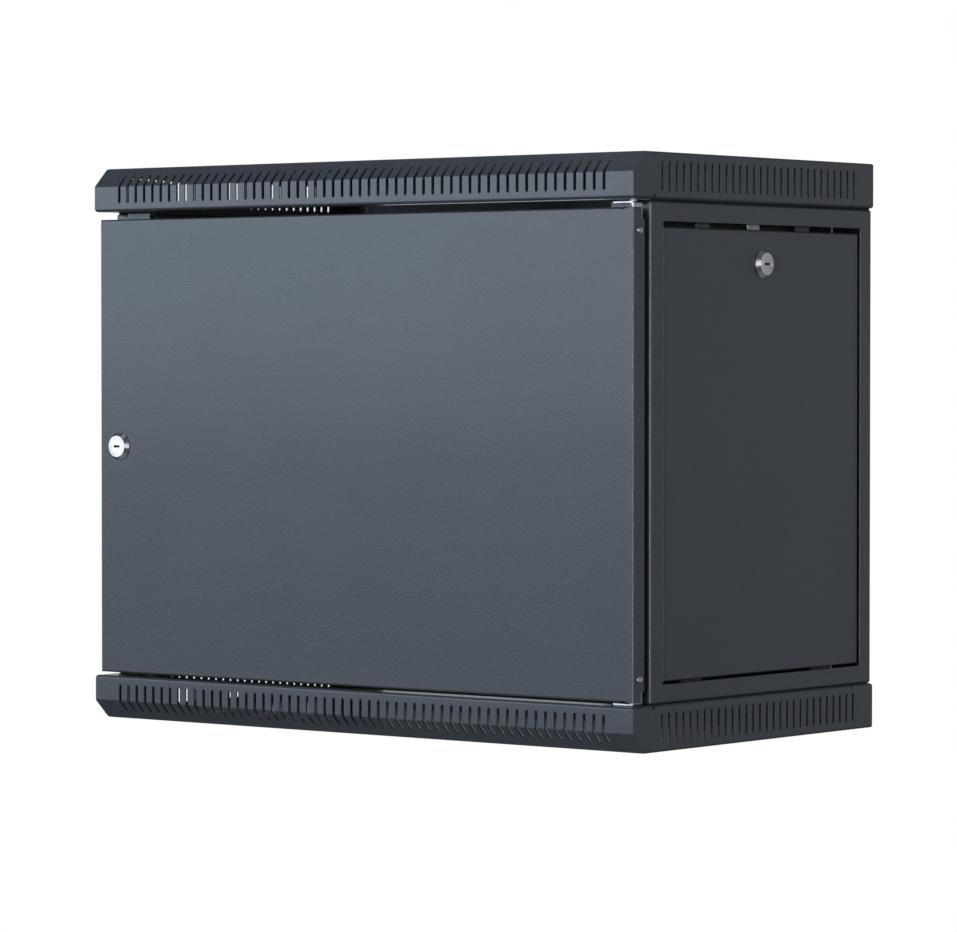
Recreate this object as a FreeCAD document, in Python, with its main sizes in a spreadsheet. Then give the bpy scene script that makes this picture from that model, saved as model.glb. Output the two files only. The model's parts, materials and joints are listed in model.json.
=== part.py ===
import FreeCAD, Part

import math
import os
import re

import Sketcher
from FreeCAD import Placement, Rotation, Vector

# Wall mount network cabinet for 19 inch equipment, 9 units high.
# Millimetres. X runs to the right seen from the front, Y runs from the front into the wall and Z
# runs up. The origin is the centre of the four wall holes, on the wall plane.
#
# Two folded covers with slotted rims close the top and the bottom. Two folded side frames stand
# between them and carry lift-out side panels, the rear panel, the rail carriers and the rails.
# A steel door swings on two pins held in the lips of the covers. The door and both side panels
# have a quarter-turn cam lock.

SIZES = {
    # whole cabinet
    "cab_width": 600.0,
    "cab_depth": 350.0,
    "cab_height": 492.0,
    # covers
    "cover_sheet": 1.5,
    "cover_rim": 39.0,
    "cover_chamfer": 16.4,
    "bend_radius": 2.5,
    "front_lip": 20.0,
    "side_lip": 15.0,
    "relief_front": 28.6,
    "relief_rear": 31.5,
    "relief_width": 2.4,
    "relief_height": 4.0,
    # slots in the rims of the covers
    "slot_width": 3.0,
    "slot_pitch": 10.0,
    "slot_margin": 7.3,
    "front_slots": 55,
    "side_slots": 29,
    "side_slot_setback": 40.0,
    # side frames
    "frame_sheet": 1.5,
    "frame_inset": 1.5,
    "frame_setback": 26.4,
    "frame_rim": 16.7,
    "frame_front_rim": 16.8,
    "frame_rear_rim": 17.7,
    "frame_bottom_rim": 16.1,
    "frame_post": 41.0,
    "frame_catch": 13.0,
    "catch_rise": 28.0,
    "frame_flange": 14.0,
    "frame_shim": 1.0,
    # wall holes
    "wall_hole_span": 556.0,
    "wall_hole_rise": 360.0,
    "wall_hole": 9.0,
    # side panels
    "panel_sheet": 1.2,
    "panel_recess": 1.5,
    "panel_fold": 10.0,
    "panel_gap": 1.1,
    "panel_gap_top": 4.4,
    "panel_gap_bottom": 1.9,
    "panel_bend": 1.8,
    "hook_width": 30.0,
    "hook_drop": 8.0,
    "hook_clear": 0.4,
    "hook_offset": 95.0,
    "stop_width": 20.0,
    "stop_offset": 73.0,
    "striker_width": 18.0,
    "stop_sheet": 1.5,
    "stop_drop": 8.0,
    "stop_rise": 3.0,
    "stop_foot": 7.0,
    "stop_clear": 0.3,
    # rear panel
    "rear_sheet": 1.2,
    "rear_lap": 10.5,
    "rear_screw_rise": 240.0,
    "rear_rise": 280.0,
    # rails for 19 inch equipment
    "unit_height": 44.45,
    "units": 9,
    "hole_end_pitch": 15.875,
    "rail_hole_span": 465.1,
    "rail_opening": 450.0,
    "rail_sheet": 2.0,
    "rail_face": 30.0,
    "rail_leg": 28.0,
    "rail_return": 9.0,
    "rail_setback": 60.0,
    "rail_overrun": 1.4,
    "cage_hole": 9.5,
    # rail carriers
    "carrier_sheet": 2.0,
    "carrier_web": 32.0,
    "carrier_setback": 34.0,
    "carrier_slot": 240.0,
    "carrier_slot_lead": 10.0,
    "carrier_slot_width": 6.6,
    # cable entries
    "entry_width": 300.0,
    "entry_depth": 60.0,
    "entry_setback": 30.0,
    "entry_plate": 1.2,
    "entry_lap": 12.0,
    # door
    "door_sheet": 1.2,
    "door_setback": 4.2,
    "door_side_gap": 2.75,
    "door_top_gap": 6.9,
    "door_bottom_gap": 2.8,
    "door_fold": 15.0,
    "door_bend": 1.8,
    "door_relief": 13.5,
    "fold_notch": 4.0,
    "fold_notch_height": 9.0,
    "stiffener_width": 60.0,
    "stiffener_depth": 10.0,
    "stiffener_foot": 14.0,
    "stiffener_end_gap": 14.0,
    # hinges
    "pivot_inset": 9.0,
    "pivot_setback": 12.0,
    "pin_radius": 3.0,
    "pin_overrun": 2.0,
    "pin_clearance": 0.08,
    "leaf_sheet": 1.8,
    "leaf_width": 32.0,
    "leaf_depth": 12.0,
    "leaf_height": 40.0,
    "leaf_front_gap": 0.4,
    "upper_leaf_gap": 2.1,
    "lower_leaf_gap": 0.3,
    "leaf_screw_drop": 19.0,
    # locks
    "rosette_radius": 12.25,
    "rosette_face_radius": 9.5,
    "rosette_height": 4.0,
    "rosette_rim": 0.8,
    "barrel_radius": 9.5,
    "plug_radius": 7.0,
    "plug_clearance": 0.06,
    "plug_recess": 0.3,
    "key_slot_length": 7.5,
    "key_slot_width": 2.0,
    "key_slot_depth": 4.0,
    "nut_across": 24.0,
    "nut_height": 4.0,
    "cam_sheet": 2.5,
    "cam_width": 16.0,
    "cam_square": 7.0,
    "cam_square_clear": 0.1,
    "cam_corner": 4.0,
    "cam_screw_across": 9.0,
    "cam_screw_head": 3.0,
    "cam_clear": 0.4,
    "door_lock_inset": 25.8,
    "door_cam_length": 20.0,
    "side_lock_drop": 28.6,
    "side_cam_length": 34.0,
    # fasteners, buffers and earth stud
    "bolt_radius": 3.0,
    "bolt_head_across": 10.0,
    "bolt_head": 4.0,
    "bolt_clearance": 0.3,
    "bolt_grip": 4.0,
    "bolt_inset": 9.5,
    "screw_radius": 2.0,
    "screw_head_radius": 3.2,
    "screw_head": 1.6,
    "corner_bolt_setback": 60.0,
    "buffer_width": 8.0,
    "buffer_inset": 1.0,
    "buffer_rise": 150.0,
    "touch_clear": 0.3,
    "stud_height": 20.0,
    "stud_neck": 2.5,
    "stud_neck_height": 4.5,
    "stud_x": 180.0,
    "stud_setback": 120.0,
}

# Places that follow from the sizes. Each is used in expressions like a size.
PLACES = {
    "half_width": "cab_width / 2",
    "half_height": "cab_height / 2",
    "cover_edge": "half_height - cover_rim",
    "frame_face": "half_width - frame_inset",
    "frame_inner": "frame_face - frame_sheet",
    "frame_front": "frame_setback - cab_depth",
    "frame_top": "cover_edge - frame_shim",
    "frame_bottom": "-cover_edge",
    "opening_front": "frame_front + frame_front_rim",
    "opening_rear": "-frame_rear_rim",
    "opening_top": "frame_top - frame_rim",
    "opening_bottom": "frame_bottom + frame_bottom_rim",
    "panel_face": "frame_face - panel_recess",
    "panel_front": "opening_front + panel_gap",
    "panel_rear": "opening_rear - panel_gap",
    "panel_top": "opening_top - panel_gap_top",
    "panel_bottom": "opening_bottom + panel_gap_bottom",
    "panel_back": "panel_face - panel_fold",
    "panel_middle": "(opening_front + opening_rear) / 2",
    "side_lock_z": "panel_top - side_lock_drop",
    "stop_face": "panel_back - stop_clear",
    "stop_shelf": "opening_top + stop_rise",
    "rail_inner": "rail_opening / 2",
    "rail_outer": "rail_inner + rail_face",
    "rail_front": "rail_setback - cab_depth",
    "rail_half": "units * unit_height / 2 + rail_overrun",
    "carrier_face": "rail_outer + carrier_sheet",
    "door_front": "door_setback - cab_depth",
    "door_inner": "door_front + door_sheet",
    "door_back": "door_front + door_fold",
    "door_side": "half_width - door_side_gap",
    "door_top": "cover_edge - door_top_gap",
    "door_bottom": "door_bottom_gap - cover_edge",
    "door_middle": "(door_top + door_bottom) / 2",
    "pivot_x": "half_width - pivot_inset",
    "pivot_y": "pivot_setback - cab_depth",
    "leaf_face": "door_side - door_sheet",
    "lower_leaf_low": "lower_leaf_gap - cover_edge",
    "lower_leaf_high": "lower_leaf_low + leaf_sheet",
    "upper_leaf_high": "cover_edge - upper_leaf_gap",
    "upper_leaf_low": "upper_leaf_high - leaf_sheet",
    "leaf_front": "door_inner + leaf_front_gap",
    "bolt_x": "half_width - bolt_inset",
    "bolt_hole": "bolt_radius + bolt_clearance",
    "screw_hole": "screw_radius + bolt_clearance",
    "bolt_front": "corner_bolt_setback - cab_depth",
    "bolt_rear": "-corner_bolt_setback",
}

DOC = FreeCAD.newDocument("wall_cabinet")
SHEET = DOC.addObject("Spreadsheet::Sheet", "dims")
for row, (word, number) in enumerate(SIZES.items(), start=1):
    SHEET.set(f"A{row}", word)
    SHEET.set(f"B{row}", str(number))
    SHEET.setAlias(f"B{row}", word)
DOC.recompute()

SUBPARTS = []
HOLE_SIDES = 8
BARREL_SIDES = 16
ROSETTE_SIDES = 32


def bind(text):
    """Expression text in which sizes and places are written out as cells of the sheet."""

    def swap(match):
        word = match.group()
        if word in SIZES:
            return "dims." + word
        if word in PLACES:
            return "(" + bind(PLACES[word]) + ")"
        return word

    return re.sub(r"[a-z][a-z_]*", swap, str(text))


def value(text):
    """Number that an expression gives with the sizes as they are now."""
    result = SHEET.evalExpression(bind(text))
    return float(getattr(result, "Value", result))


def point(x, y, z):
    """Vector from three expressions."""
    return Vector(value(x), value(y), value(z))


class Loop:
    """Closed outline for a sketch, given by expressions along the sketch's two axes."""

    def __init__(self, corners=None, disc=None):
        self.corners = corners
        self.disc = disc

    def draw(self, sketch):
        """Add the outline to a sketch and bind each corner to its expressions."""
        if self.disc:
            self.draw_disc(sketch)
            return
        first = sketch.GeometryCount
        spots = [Vector(value(x), value(y), 0) for x, y in self.corners]
        count = len(spots)
        lines = [Part.LineSegment(spots[i], spots[(i + 1) % count]) for i in range(count)]
        sketch.addGeometry(lines, False)
        for i, (x, y) in enumerate(self.corners):
            here = first + i
            sketch.addConstraint(Sketcher.Constraint("Coincident", here, 2, first + (i + 1) % count, 1))
            across = sketch.addConstraint(Sketcher.Constraint("DistanceX", -1, 1, here, 1, spots[i].x))
            along = sketch.addConstraint(Sketcher.Constraint("DistanceY", -1, 1, here, 1, spots[i].y))
            sketch.setExpression(f"Constraints[{across}]", bind(x))
            sketch.setExpression(f"Constraints[{along}]", bind(y))

    def draw_disc(self, sketch):
        """Add a circle bound at its centre and radius."""
        x, y, radius = self.disc
        centre = Vector(value(x), value(y), 0)
        here = sketch.addGeometry(Part.Circle(centre, Vector(0, 0, 1), value(radius)), False)
        size = sketch.addConstraint(Sketcher.Constraint("Radius", here, value(radius)))
        across = sketch.addConstraint(Sketcher.Constraint("DistanceX", -1, 1, here, 3, centre.x))
        along = sketch.addConstraint(Sketcher.Constraint("DistanceY", -1, 1, here, 3, centre.y))
        sketch.setExpression(f"Constraints[{size}]", bind(radius))
        sketch.setExpression(f"Constraints[{across}]", bind(x))
        sketch.setExpression(f"Constraints[{along}]", bind(y))


def box(x_low, x_high, y_low, y_high):
    """Rectangular outline."""
    return Loop([(x_low, y_low), (x_high, y_low), (x_high, y_high), (x_low, y_high)])


def shape(*corners):
    """Outline with straight sides through the given corners."""
    return Loop(list(corners))


def disc(x, y, radius):
    """Round outline."""
    return Loop(disc=(x, y, radius))


def regular(x, y, radius, sides):
    """Regular outline about a point, with its flats at the given radius."""
    corners = []
    for i in range(sides):
        turn = math.pi * (2 * i + 1) / sides
        reach = f"({radius}) * {1 / math.cos(math.pi / sides):.6f}"
        corners.append((f"{x} + {reach} * {math.cos(turn):.6f}", f"{y} + {reach} * {math.sin(turn):.6f}"))
    return Loop(corners)


def hole(x, y, radius):
    """Punched hole for a small fastener, with few sides because there are many of them."""
    return regular(x, y, radius, HOLE_SIDES)


class Piece:
    """One sub-part: a PartDesign body and the features that shape it."""

    def __init__(self, label):
        self.label = label
        self.body = DOC.addObject("PartDesign::Body", label)
        self.body.Label = label
        SUBPARTS.append(self.body)

    def plane(self, role):
        """The body's own origin plane with the given role."""
        return next(item for item in self.body.Origin.OriginFeatures if item.Role == role)

    def sketch(self, role, level, loops):
        """Sketch with the given loops, at a level along the plane's own axis."""
        sketch = self.body.newObject("Sketcher::SketchObject", self.label + "_sketch")
        sketch.AttachmentSupport = [(self.plane(role), "")]
        sketch.MapMode = "FlatFace"
        offset = f"-({bind(level)})" if role == "XZ_Plane" else bind(level)
        sketch.setExpression("AttachmentOffset.Base.z", offset)
        for loop in loops:
            loop.draw(sketch)
        return sketch

    def extrude(self, kind, role, low, high, loops):
        """Pad or pocket between two levels along the axis of the plane."""
        sketch = self.sketch(role, low, loops)
        feature = self.body.newObject("PartDesign::" + kind, self.label + "_" + kind.lower())
        feature.Profile = sketch
        feature.setExpression("Length", bind(f"({high}) - ({low})"))
        feature.Reversed = (role == "XZ_Plane") == (kind == "Pad")
        sketch.Visibility = False
        return feature

    def pad(self, role, low, high, *loops):
        """Add material between two levels."""
        feature = self.extrude("Pad", role, low, high, loops)
        DOC.recompute()
        return feature

    def cut(self, role, low, high, *loops):
        """Remove material between two levels, and make sure that some was removed."""
        before = self.body.Shape.Volume
        feature = self.extrude("Pocket", role, low, high, loops)
        DOC.recompute()
        if self.body.Shape.Volume > before - 1e-3:
            raise ValueError(f"{self.label}: a pocket removes nothing")
        return feature

    def round_edges(self, radius, *planes):
        """Fillet each edge that lies in all the planes of one of the sets, such as x=3 and z=5."""
        names = []
        for index, edge in enumerate(self.body.Shape.Edges, start=1):
            if any(lies_in(edge, plane) for plane in planes):
                names.append(f"Edge{index}")
        return self.fillet(radius, names)

    def fillet(self, radius, names):
        """Fillet the named edges."""
        if not names:
            raise ValueError(f"{self.label}: no edge to round")
        fillet = self.body.newObject("PartDesign::Fillet", self.label + "_bend")
        fillet.Base = (fillet.BaseFeature, names)
        fillet.setExpression("Radius", bind(radius))
        DOC.recompute()
        return fillet

    def bevel(self, height, depth, *planes):
        """Chamfer each edge that lies in all the planes of one set, with its own height and depth."""
        names = []
        for index, edge in enumerate(self.body.Shape.Edges, start=1):
            if any(lies_in(edge, plane) for plane in planes):
                names.append(f"Edge{index}")
        chamfer = self.body.newObject("PartDesign::Chamfer", self.label + "_bevel")
        chamfer.Base = (chamfer.BaseFeature, names)
        chamfer.ChamferType = "Two distances"
        chamfer.setExpression("Size", bind(height))
        chamfer.setExpression("Size2", bind(depth))
        DOC.recompute()
        return chamfer

    def repeat(self, feature, axis, pitch, count):
        """Repeat a feature along its sketch's H_Axis or V_Axis."""
        pattern = self.body.newObject("PartDesign::LinearPattern", self.label + "_row")
        pattern.Originals = [feature]
        pattern.Direction = (feature.Profile[0], [axis])
        pattern.setExpression("Length", bind(f"({pitch}) * (({count}) - 1)"))
        pattern.setExpression("Occurrences", bind(count))
        self.body.Tip = pattern
        DOC.recompute()
        return pattern

    def place(self, x, y, z, rotation):
        """Stand the piece somewhere in the cabinet, with its place bound to the sizes."""
        self.body.Placement = Placement(point(x, y, z), rotation)
        for axis, text in (("x", x), ("y", y), ("z", z)):
            self.body.setExpression("Placement.Base." + axis, bind(text))


def lies_in(edge, plane):
    """Whether an edge lies in every plane of a set such as {"x": 3.0, "z": 5.0}."""
    bound = edge.BoundBox
    spans = {
        "x": (bound.XMin, bound.XMax),
        "y": (bound.YMin, bound.YMax),
        "z": (bound.ZMin, bound.ZMax),
    }
    for axis, level in plane.items():
        low, high = spans[axis]
        if abs(low - level) > 1e-4 or abs(high - level) > 1e-4:
            return False
    return True


def cover(label, side):
    """Folded cover with a chamfered front, slotted rims and inward lips. side is 1 on top, -1 below."""

    def level(text):
        return f"{side} * ({text})"

    def cut_level(low, high, *loops):
        ends = (level(low), level(high)) if side > 0 else (level(high), level(low))
        return piece.cut("XY_Plane", *ends, *loops)

    piece = Piece(label)
    front = "-cab_depth"
    bend = "half_height - cover_chamfer"
    piece.pad(
        "YZ_Plane",
        "-half_width",
        "half_width",
        shape(
            (front, level("cover_edge")),
            (front, level(bend)),
            ("cover_chamfer - cab_depth", level("half_height")),
            ("0", level("half_height")),
            ("0", level("cover_edge")),
        ),
    )
    edge_z, top_z = value(level("cover_edge")), value(level("half_height"))
    half, front_y = value("half_width"), value(front)
    piece.round_edges(
        "bend_radius",
        {"x": half, "z": top_z},
        {"x": -half, "z": top_z},
        {"y": 0.0, "z": top_z},
    )

    # The inside follows the outside one sheet further in, and stays closed at the lip.
    slope = f"cover_sheet * {math.tan(math.pi / 8):.6f}"
    inner_front = "cover_sheet - cab_depth"
    piece.cut(
        "YZ_Plane",
        "cover_sheet - half_width",
        "half_width - cover_sheet",
        shape(
            (inner_front, level("cover_edge + cover_sheet")),
            (inner_front, level(f"{bend} - {slope}")),
            (f"cover_chamfer + {slope} - cab_depth", level("half_height - cover_sheet")),
            ("-cover_sheet", level("half_height - cover_sheet")),
            ("-cover_sheet", level("cover_edge + cover_sheet")),
        ),
    )
    # Mouth between the lips.
    cut_level(
        "cover_edge",
        "cover_edge + cover_sheet",
        box("side_lip - half_width", "half_width - side_lip", "front_lip - cab_depth", "-cover_sheet"),
    )

    # Reliefs part the side lip's bend from the corners.
    for centre in ("relief_front - cab_depth", "-relief_rear"):
        notch = (f"{centre} - relief_width / 2", f"{centre} + relief_width / 2")
        for wall in (("-half_width", "side_lip - half_width"), ("half_width - side_lip", "half_width")):
            cut_level("cover_edge", "cover_edge + relief_height", box(*wall, *notch))
    middle = value("(relief_front - cab_depth - relief_rear) / 2")
    lips = []
    for index, edge in enumerate(piece.body.Shape.Edges, 1):
        at_side = lies_in(edge, {"x": half, "z": edge_z}) or lies_in(edge, {"x": -half, "z": edge_z})
        at_front = lies_in(edge, {"y": front_y, "z": edge_z})
        if at_front or (at_side and edge.BoundBox.YMin < middle < edge.BoundBox.YMax):
            lips.append(f"Edge{index}")
    piece.fillet("bend_radius", lips)

    # Front slots run up the front wall, over the bend and onto the chamfer.
    first = "-(front_slots - 1) * slot_pitch / 2"
    slot_low, slot_high = level("cover_edge + slot_margin"), level("half_height - slot_margin")
    slot = piece.cut(
        "XZ_Plane",
        front,
        "cover_chamfer - cab_depth",
        box(f"{first} - slot_width / 2", f"{first} + slot_width / 2", slot_low, slot_high),
    )
    piece.repeat(slot, "H_Axis", "slot_pitch", "front_slots")
    # Side slots pass through both side walls.
    first = "side_slot_setback - cab_depth"
    slot = piece.cut(
        "YZ_Plane",
        "-half_width",
        "half_width",
        box(f"{first} - slot_width / 2", f"{first} + slot_width / 2", slot_low, slot_high),
    )
    piece.repeat(slot, "H_Axis", "slot_pitch", "side_slots")

    # Cable entry, with a hole for each screw of its plate.
    entry = ("-(entry_width / 2)", "entry_width / 2", "-(entry_setback + entry_depth)", "-entry_setback")
    holes = [hole(x, y, "screw_hole") for x, y in entry_screw_places()]
    cut_level("half_height - cover_sheet", "half_height", box(*entry), *holes)
    # Holes in the side lips for the bolts of the side frames.
    holes = [hole(x, y, "bolt_hole") for x, y in corner_bolt_places()]
    cut_level("cover_edge", "cover_edge + cover_sheet", *holes)
    return piece


def corner_bolt_places():
    """Places of the four bolts that hold a cover to the side frames."""
    return [(x, y) for x in ("bolt_x", "-(bolt_x)") for y in ("bolt_front", "bolt_rear")]


def entry_screw_places():
    """Places of the screws that hold a cable entry's plate."""
    x = "entry_width / 2 + entry_lap / 2"
    return [(sign + f"({x})", "-(entry_setback + entry_depth / 2)") for sign in ("", "-")]


def side_frame(label, side):
    """Folded frame with a front, rear, top and bottom flange. side is 1 on the right, -1 on the left."""
    piece = Piece(label)

    def span(low, high):
        ends = (low, high) if side > 0 else (f"-({high})", f"-({low})")
        return ends

    rear_edge = "frame_face - frame_post"
    outline = box(*span(rear_edge, "frame_face"), "frame_front", "0")
    piece.pad("XY_Plane", "frame_bottom", "frame_top", outline)
    face = side * value("frame_face")
    piece.round_edges(
        "bend_radius",
        {"x": face, "y": value("frame_front")},
        {"x": face, "y": 0.0},
        {"x": face, "z": value("frame_top")},
        {"x": face, "z": value("frame_bottom")},
    )
    low, high = span(rear_edge, "frame_inner")
    inside = ("frame_front + frame_sheet", "-frame_sheet")
    piece.cut("XY_Plane", "frame_bottom + frame_sheet", "frame_top - frame_sheet", box(low, high, *inside))
    # A notch in the front flange lets the door's lock in and leaves an edge for its cam to catch.
    notch = span(rear_edge, "frame_face - frame_catch")
    reach = ("door_middle - catch_rise", "door_middle + catch_rise")
    piece.cut("XZ_Plane", "frame_front", "frame_front + frame_sheet", box(*notch, *reach))
    # The two end flanges are narrower than the front and rear ones.
    trim = span(rear_edge, "frame_face - frame_flange")
    ends = ("frame_front + frame_sheet", "-frame_sheet")
    piece.cut("XY_Plane", "frame_bottom", "frame_bottom + frame_sheet", box(*trim, *ends))
    piece.cut("XY_Plane", "frame_top - frame_sheet", "frame_top", box(*trim, *ends))
    # Window for the side panel.
    window = ("opening_front", "opening_rear", "opening_bottom", "opening_top")
    piece.cut("YZ_Plane", *span("frame_inner", "frame_face"), box(*window))
    # Holes for the corner bolts, the wall and the rear panel's screws.
    sign = "" if side > 0 else "-"
    bolts = [hole(f"{sign}(bolt_x)", y, "bolt_hole") for y in ("bolt_front", "bolt_rear")]
    piece.cut("XY_Plane", "frame_bottom", "frame_bottom + frame_sheet", *bolts)
    piece.cut("XY_Plane", "frame_top - frame_sheet", "frame_top", *bolts)
    wall_x = f"{sign}(wall_hole_span / 2)"
    walls = [disc(wall_x, f"{up} * wall_hole_rise / 2", "wall_hole / 2") for up in (-1, 1)]
    screws = [hole(x, z, "screw_hole") for x, z in rear_screw_places(side)]
    piece.cut("XZ_Plane", "-frame_sheet", "0", *walls, *screws)
    return piece


def rear_screw_places(side):
    """Places of the screws that hold the rear panel to one side frame."""
    sign = "" if side > 0 else "-"
    x = f"{sign}(frame_face - frame_post + rear_lap / 2)"
    return [(x, f"{rise} * rear_screw_rise / 2") for rise in (-1, 1)]


def side_panel(label, side):
    """Lift-out pan that fills the window, with two hooks behind the window's lower edge."""
    piece = Piece(label)

    def span(low, high):
        return (low, high) if side > 0 else (f"-({high})", f"-({low})")

    outline = ("panel_front", "panel_rear", "panel_bottom", "panel_top")
    piece.pad("YZ_Plane", *span("panel_back", "panel_face"), box(*outline))
    face = side * value("panel_face")
    piece.round_edges(
        "panel_bend",
        {"x": face, "y": value("panel_front")},
        {"x": face, "y": value("panel_rear")},
        {"x": face, "z": value("panel_top")},
        {"x": face, "z": value("panel_bottom")},
    )
    inside = (
        "panel_front + panel_sheet",
        "panel_rear - panel_sheet",
        "panel_bottom + panel_sheet",
        "panel_top - panel_sheet",
    )
    piece.cut("YZ_Plane", *span("panel_back", "panel_face - panel_sheet"), box(*inside))
    piece.cut(
        "YZ_Plane",
        *span("panel_face - panel_sheet", "panel_face"),
        regular("panel_middle", "side_lock_z", "barrel_radius", BARREL_SIDES),
    )
    hooks = []
    for sign in ("-", "+"):
        middle = f"panel_middle {sign} hook_offset"
        hooks.append(
            box(
                f"{middle} - hook_width / 2",
                f"{middle} + hook_width / 2",
                "opening_bottom - hook_drop",
                "panel_bottom + panel_sheet",
            )
        )
    outer = "frame_inner - hook_clear"
    piece.pad("YZ_Plane", *span(f"{outer} - panel_sheet", outer), *hooks)
    return piece


def clip(label, side, widths):
    """Stepped clips behind the window's upper edge, one for each centre and width given."""
    compound = []
    for centre, width in widths:
        outline = [
            ("frame_inner", "stop_shelf"),
            ("frame_inner", "stop_shelf + stop_sheet + stop_foot"),
            ("frame_inner - stop_sheet", "stop_shelf + stop_sheet + stop_foot"),
            ("frame_inner - stop_sheet", "stop_shelf + stop_sheet"),
            ("stop_face - stop_sheet", "stop_shelf + stop_sheet"),
            ("stop_face - stop_sheet", "opening_top - stop_drop"),
            ("stop_face", "opening_top - stop_drop"),
            ("stop_face", "stop_shelf"),
        ]
        low = value(f"{centre} - ({width}) / 2")
        wire = Part.makePolygon([Vector(side * value(x), low, value(z)) for x, z in outline + outline[:1]])
        compound.append(Part.Face(wire).extrude(Vector(0, value(width), 0)))
    return feature(label, compound)


def feature(label, solids):
    """Sub-part of several like solids, or of one that no body suits."""
    item = DOC.addObject("Part::Feature", label)
    item.Label = label
    item.Shape = solids[0] if len(solids) == 1 else Part.makeCompound(solids)
    SUBPARTS.append(item)
    return item


def rear_panel():
    """Flat sheet in front of the rear flanges, with an opening for cables above and below it."""
    piece = Piece("rear_panel")
    side = "frame_face - frame_post + rear_lap"
    outline = (f"-({side})", side, "-(rear_rise / 2)", "rear_rise / 2")
    piece.pad("XZ_Plane", "-(frame_sheet + rear_sheet)", "-frame_sheet", box(*outline))
    holes = [hole(x, z, "screw_hole") for hand in (1, -1) for x, z in rear_screw_places(hand)]
    piece.cut("XZ_Plane", "-(frame_sheet + rear_sheet)", "-frame_sheet", *holes)
    return piece


def rail(label, side):
    """Upright with square holes in the standard spacing, folded back on both edges."""
    piece = Piece(label)

    def x(text):
        return text if side > 0 else f"-({text})"

    piece.pad(
        "XY_Plane",
        "-rail_half",
        "rail_half",
        shape(
            (x("rail_inner"), "rail_front"),
            (x("rail_outer"), "rail_front"),
            (x("rail_outer"), "rail_front + rail_leg"),
            (x("rail_outer - rail_sheet"), "rail_front + rail_leg"),
            (x("rail_outer - rail_sheet"), "rail_front + rail_sheet"),
            (x("rail_inner + rail_sheet"), "rail_front + rail_sheet"),
            (x("rail_inner + rail_sheet"), "rail_front + rail_return"),
            (x("rail_inner"), "rail_front + rail_return"),
        ),
    )
    column = x("rail_hole_span / 2")
    base = "-(units * unit_height / 2) + unit_height / 2"
    squares = []
    for step in (-1, 0, 1):
        middle = f"{base} + {step} * hole_end_pitch"
        squares.append(
            box(
                f"{column} - cage_hole / 2",
                f"{column} + cage_hole / 2",
                f"{middle} - cage_hole / 2",
                f"{middle} + cage_hole / 2",
            )
        )
    holes = piece.cut("XZ_Plane", "rail_front", "rail_front + rail_sheet", *squares)
    piece.repeat(holes, "V_Axis", "unit_height", "units")
    # Bolt holes in the leg.
    bolts = [hole(y, z, "bolt_hole") for y, z in rail_bolt_places()]
    ends = (x("rail_outer - rail_sheet"), x("rail_outer"))
    piece.cut("YZ_Plane", *(ends if side > 0 else ends[::-1]), *bolts)
    return piece


def rail_bolt_places():
    """Places of the bolts between one rail and its two carriers, along Y and Z."""
    y = "rail_front + rail_leg / 2 + rail_sheet / 2"
    upper = "frame_top - frame_sheet - carrier_web / 2"
    lower = "frame_bottom + frame_sheet + carrier_web / 2"
    return [(y, upper), (y, lower)]


def carrier(label, side, up):
    """Angle that joins the rail to the side frame, with a long slot to set the rail's depth."""
    piece = Piece(label)

    def x(text):
        return text if side > 0 else f"-({text})"

    seat = "frame_top - frame_sheet" if up > 0 else "frame_bottom + frame_sheet"
    sign = "-" if up > 0 else "+"
    outer = "frame_inner - touch_clear"
    piece.pad(
        "XZ_Plane",
        "carrier_setback - cab_depth",
        "-(frame_sheet + rear_sheet + touch_clear)",
        shape(
            (x("rail_outer"), seat),
            (x(outer), seat),
            (x(outer), f"{seat} {sign} carrier_sheet"),
            (x("carrier_face"), f"{seat} {sign} carrier_sheet"),
            (x("carrier_face"), f"{seat} {sign} carrier_web"),
            (x("rail_outer"), f"{seat} {sign} carrier_web"),
        ),
    )
    middle = f"{seat} {sign} carrier_web / 2"
    start = "rail_front + rail_leg / 2 - carrier_slot_lead"
    slot = box(
        start,
        f"{start} + carrier_slot",
        f"{middle} - carrier_slot_width / 2",
        f"{middle} + carrier_slot_width / 2",
    )
    ends = (x("rail_outer"), x("carrier_face"))
    piece.cut("YZ_Plane", *(ends if side > 0 else ends[::-1]), slot)
    bolts = [hole(x("bolt_x"), y, "bolt_hole") for y in ("bolt_front", "bolt_rear")]
    ends = (f"{seat} - carrier_sheet", seat) if up > 0 else (seat, f"{seat} + carrier_sheet")
    piece.cut("XY_Plane", *ends, *bolts)
    return piece


def entry_plate(label, side):
    """Plate behind a cable entry. side is 1 on top, -1 below."""
    piece = Piece(label)
    far = f"{side} * (half_height - cover_sheet)"
    near = f"{side} * (half_height - cover_sheet - entry_plate)"
    ends = (near, far) if side > 0 else (far, near)
    half = "entry_width / 2 + entry_lap"
    y_low, y_high = "-(entry_setback + entry_depth + entry_lap)", "-(entry_setback - entry_lap)"
    piece.pad("XY_Plane", *ends, box(f"-({half})", half, y_low, y_high))
    piece.cut("XY_Plane", *ends, *[hole(x, y, "screw_hole") for x, y in entry_screw_places()])
    return piece


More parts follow.
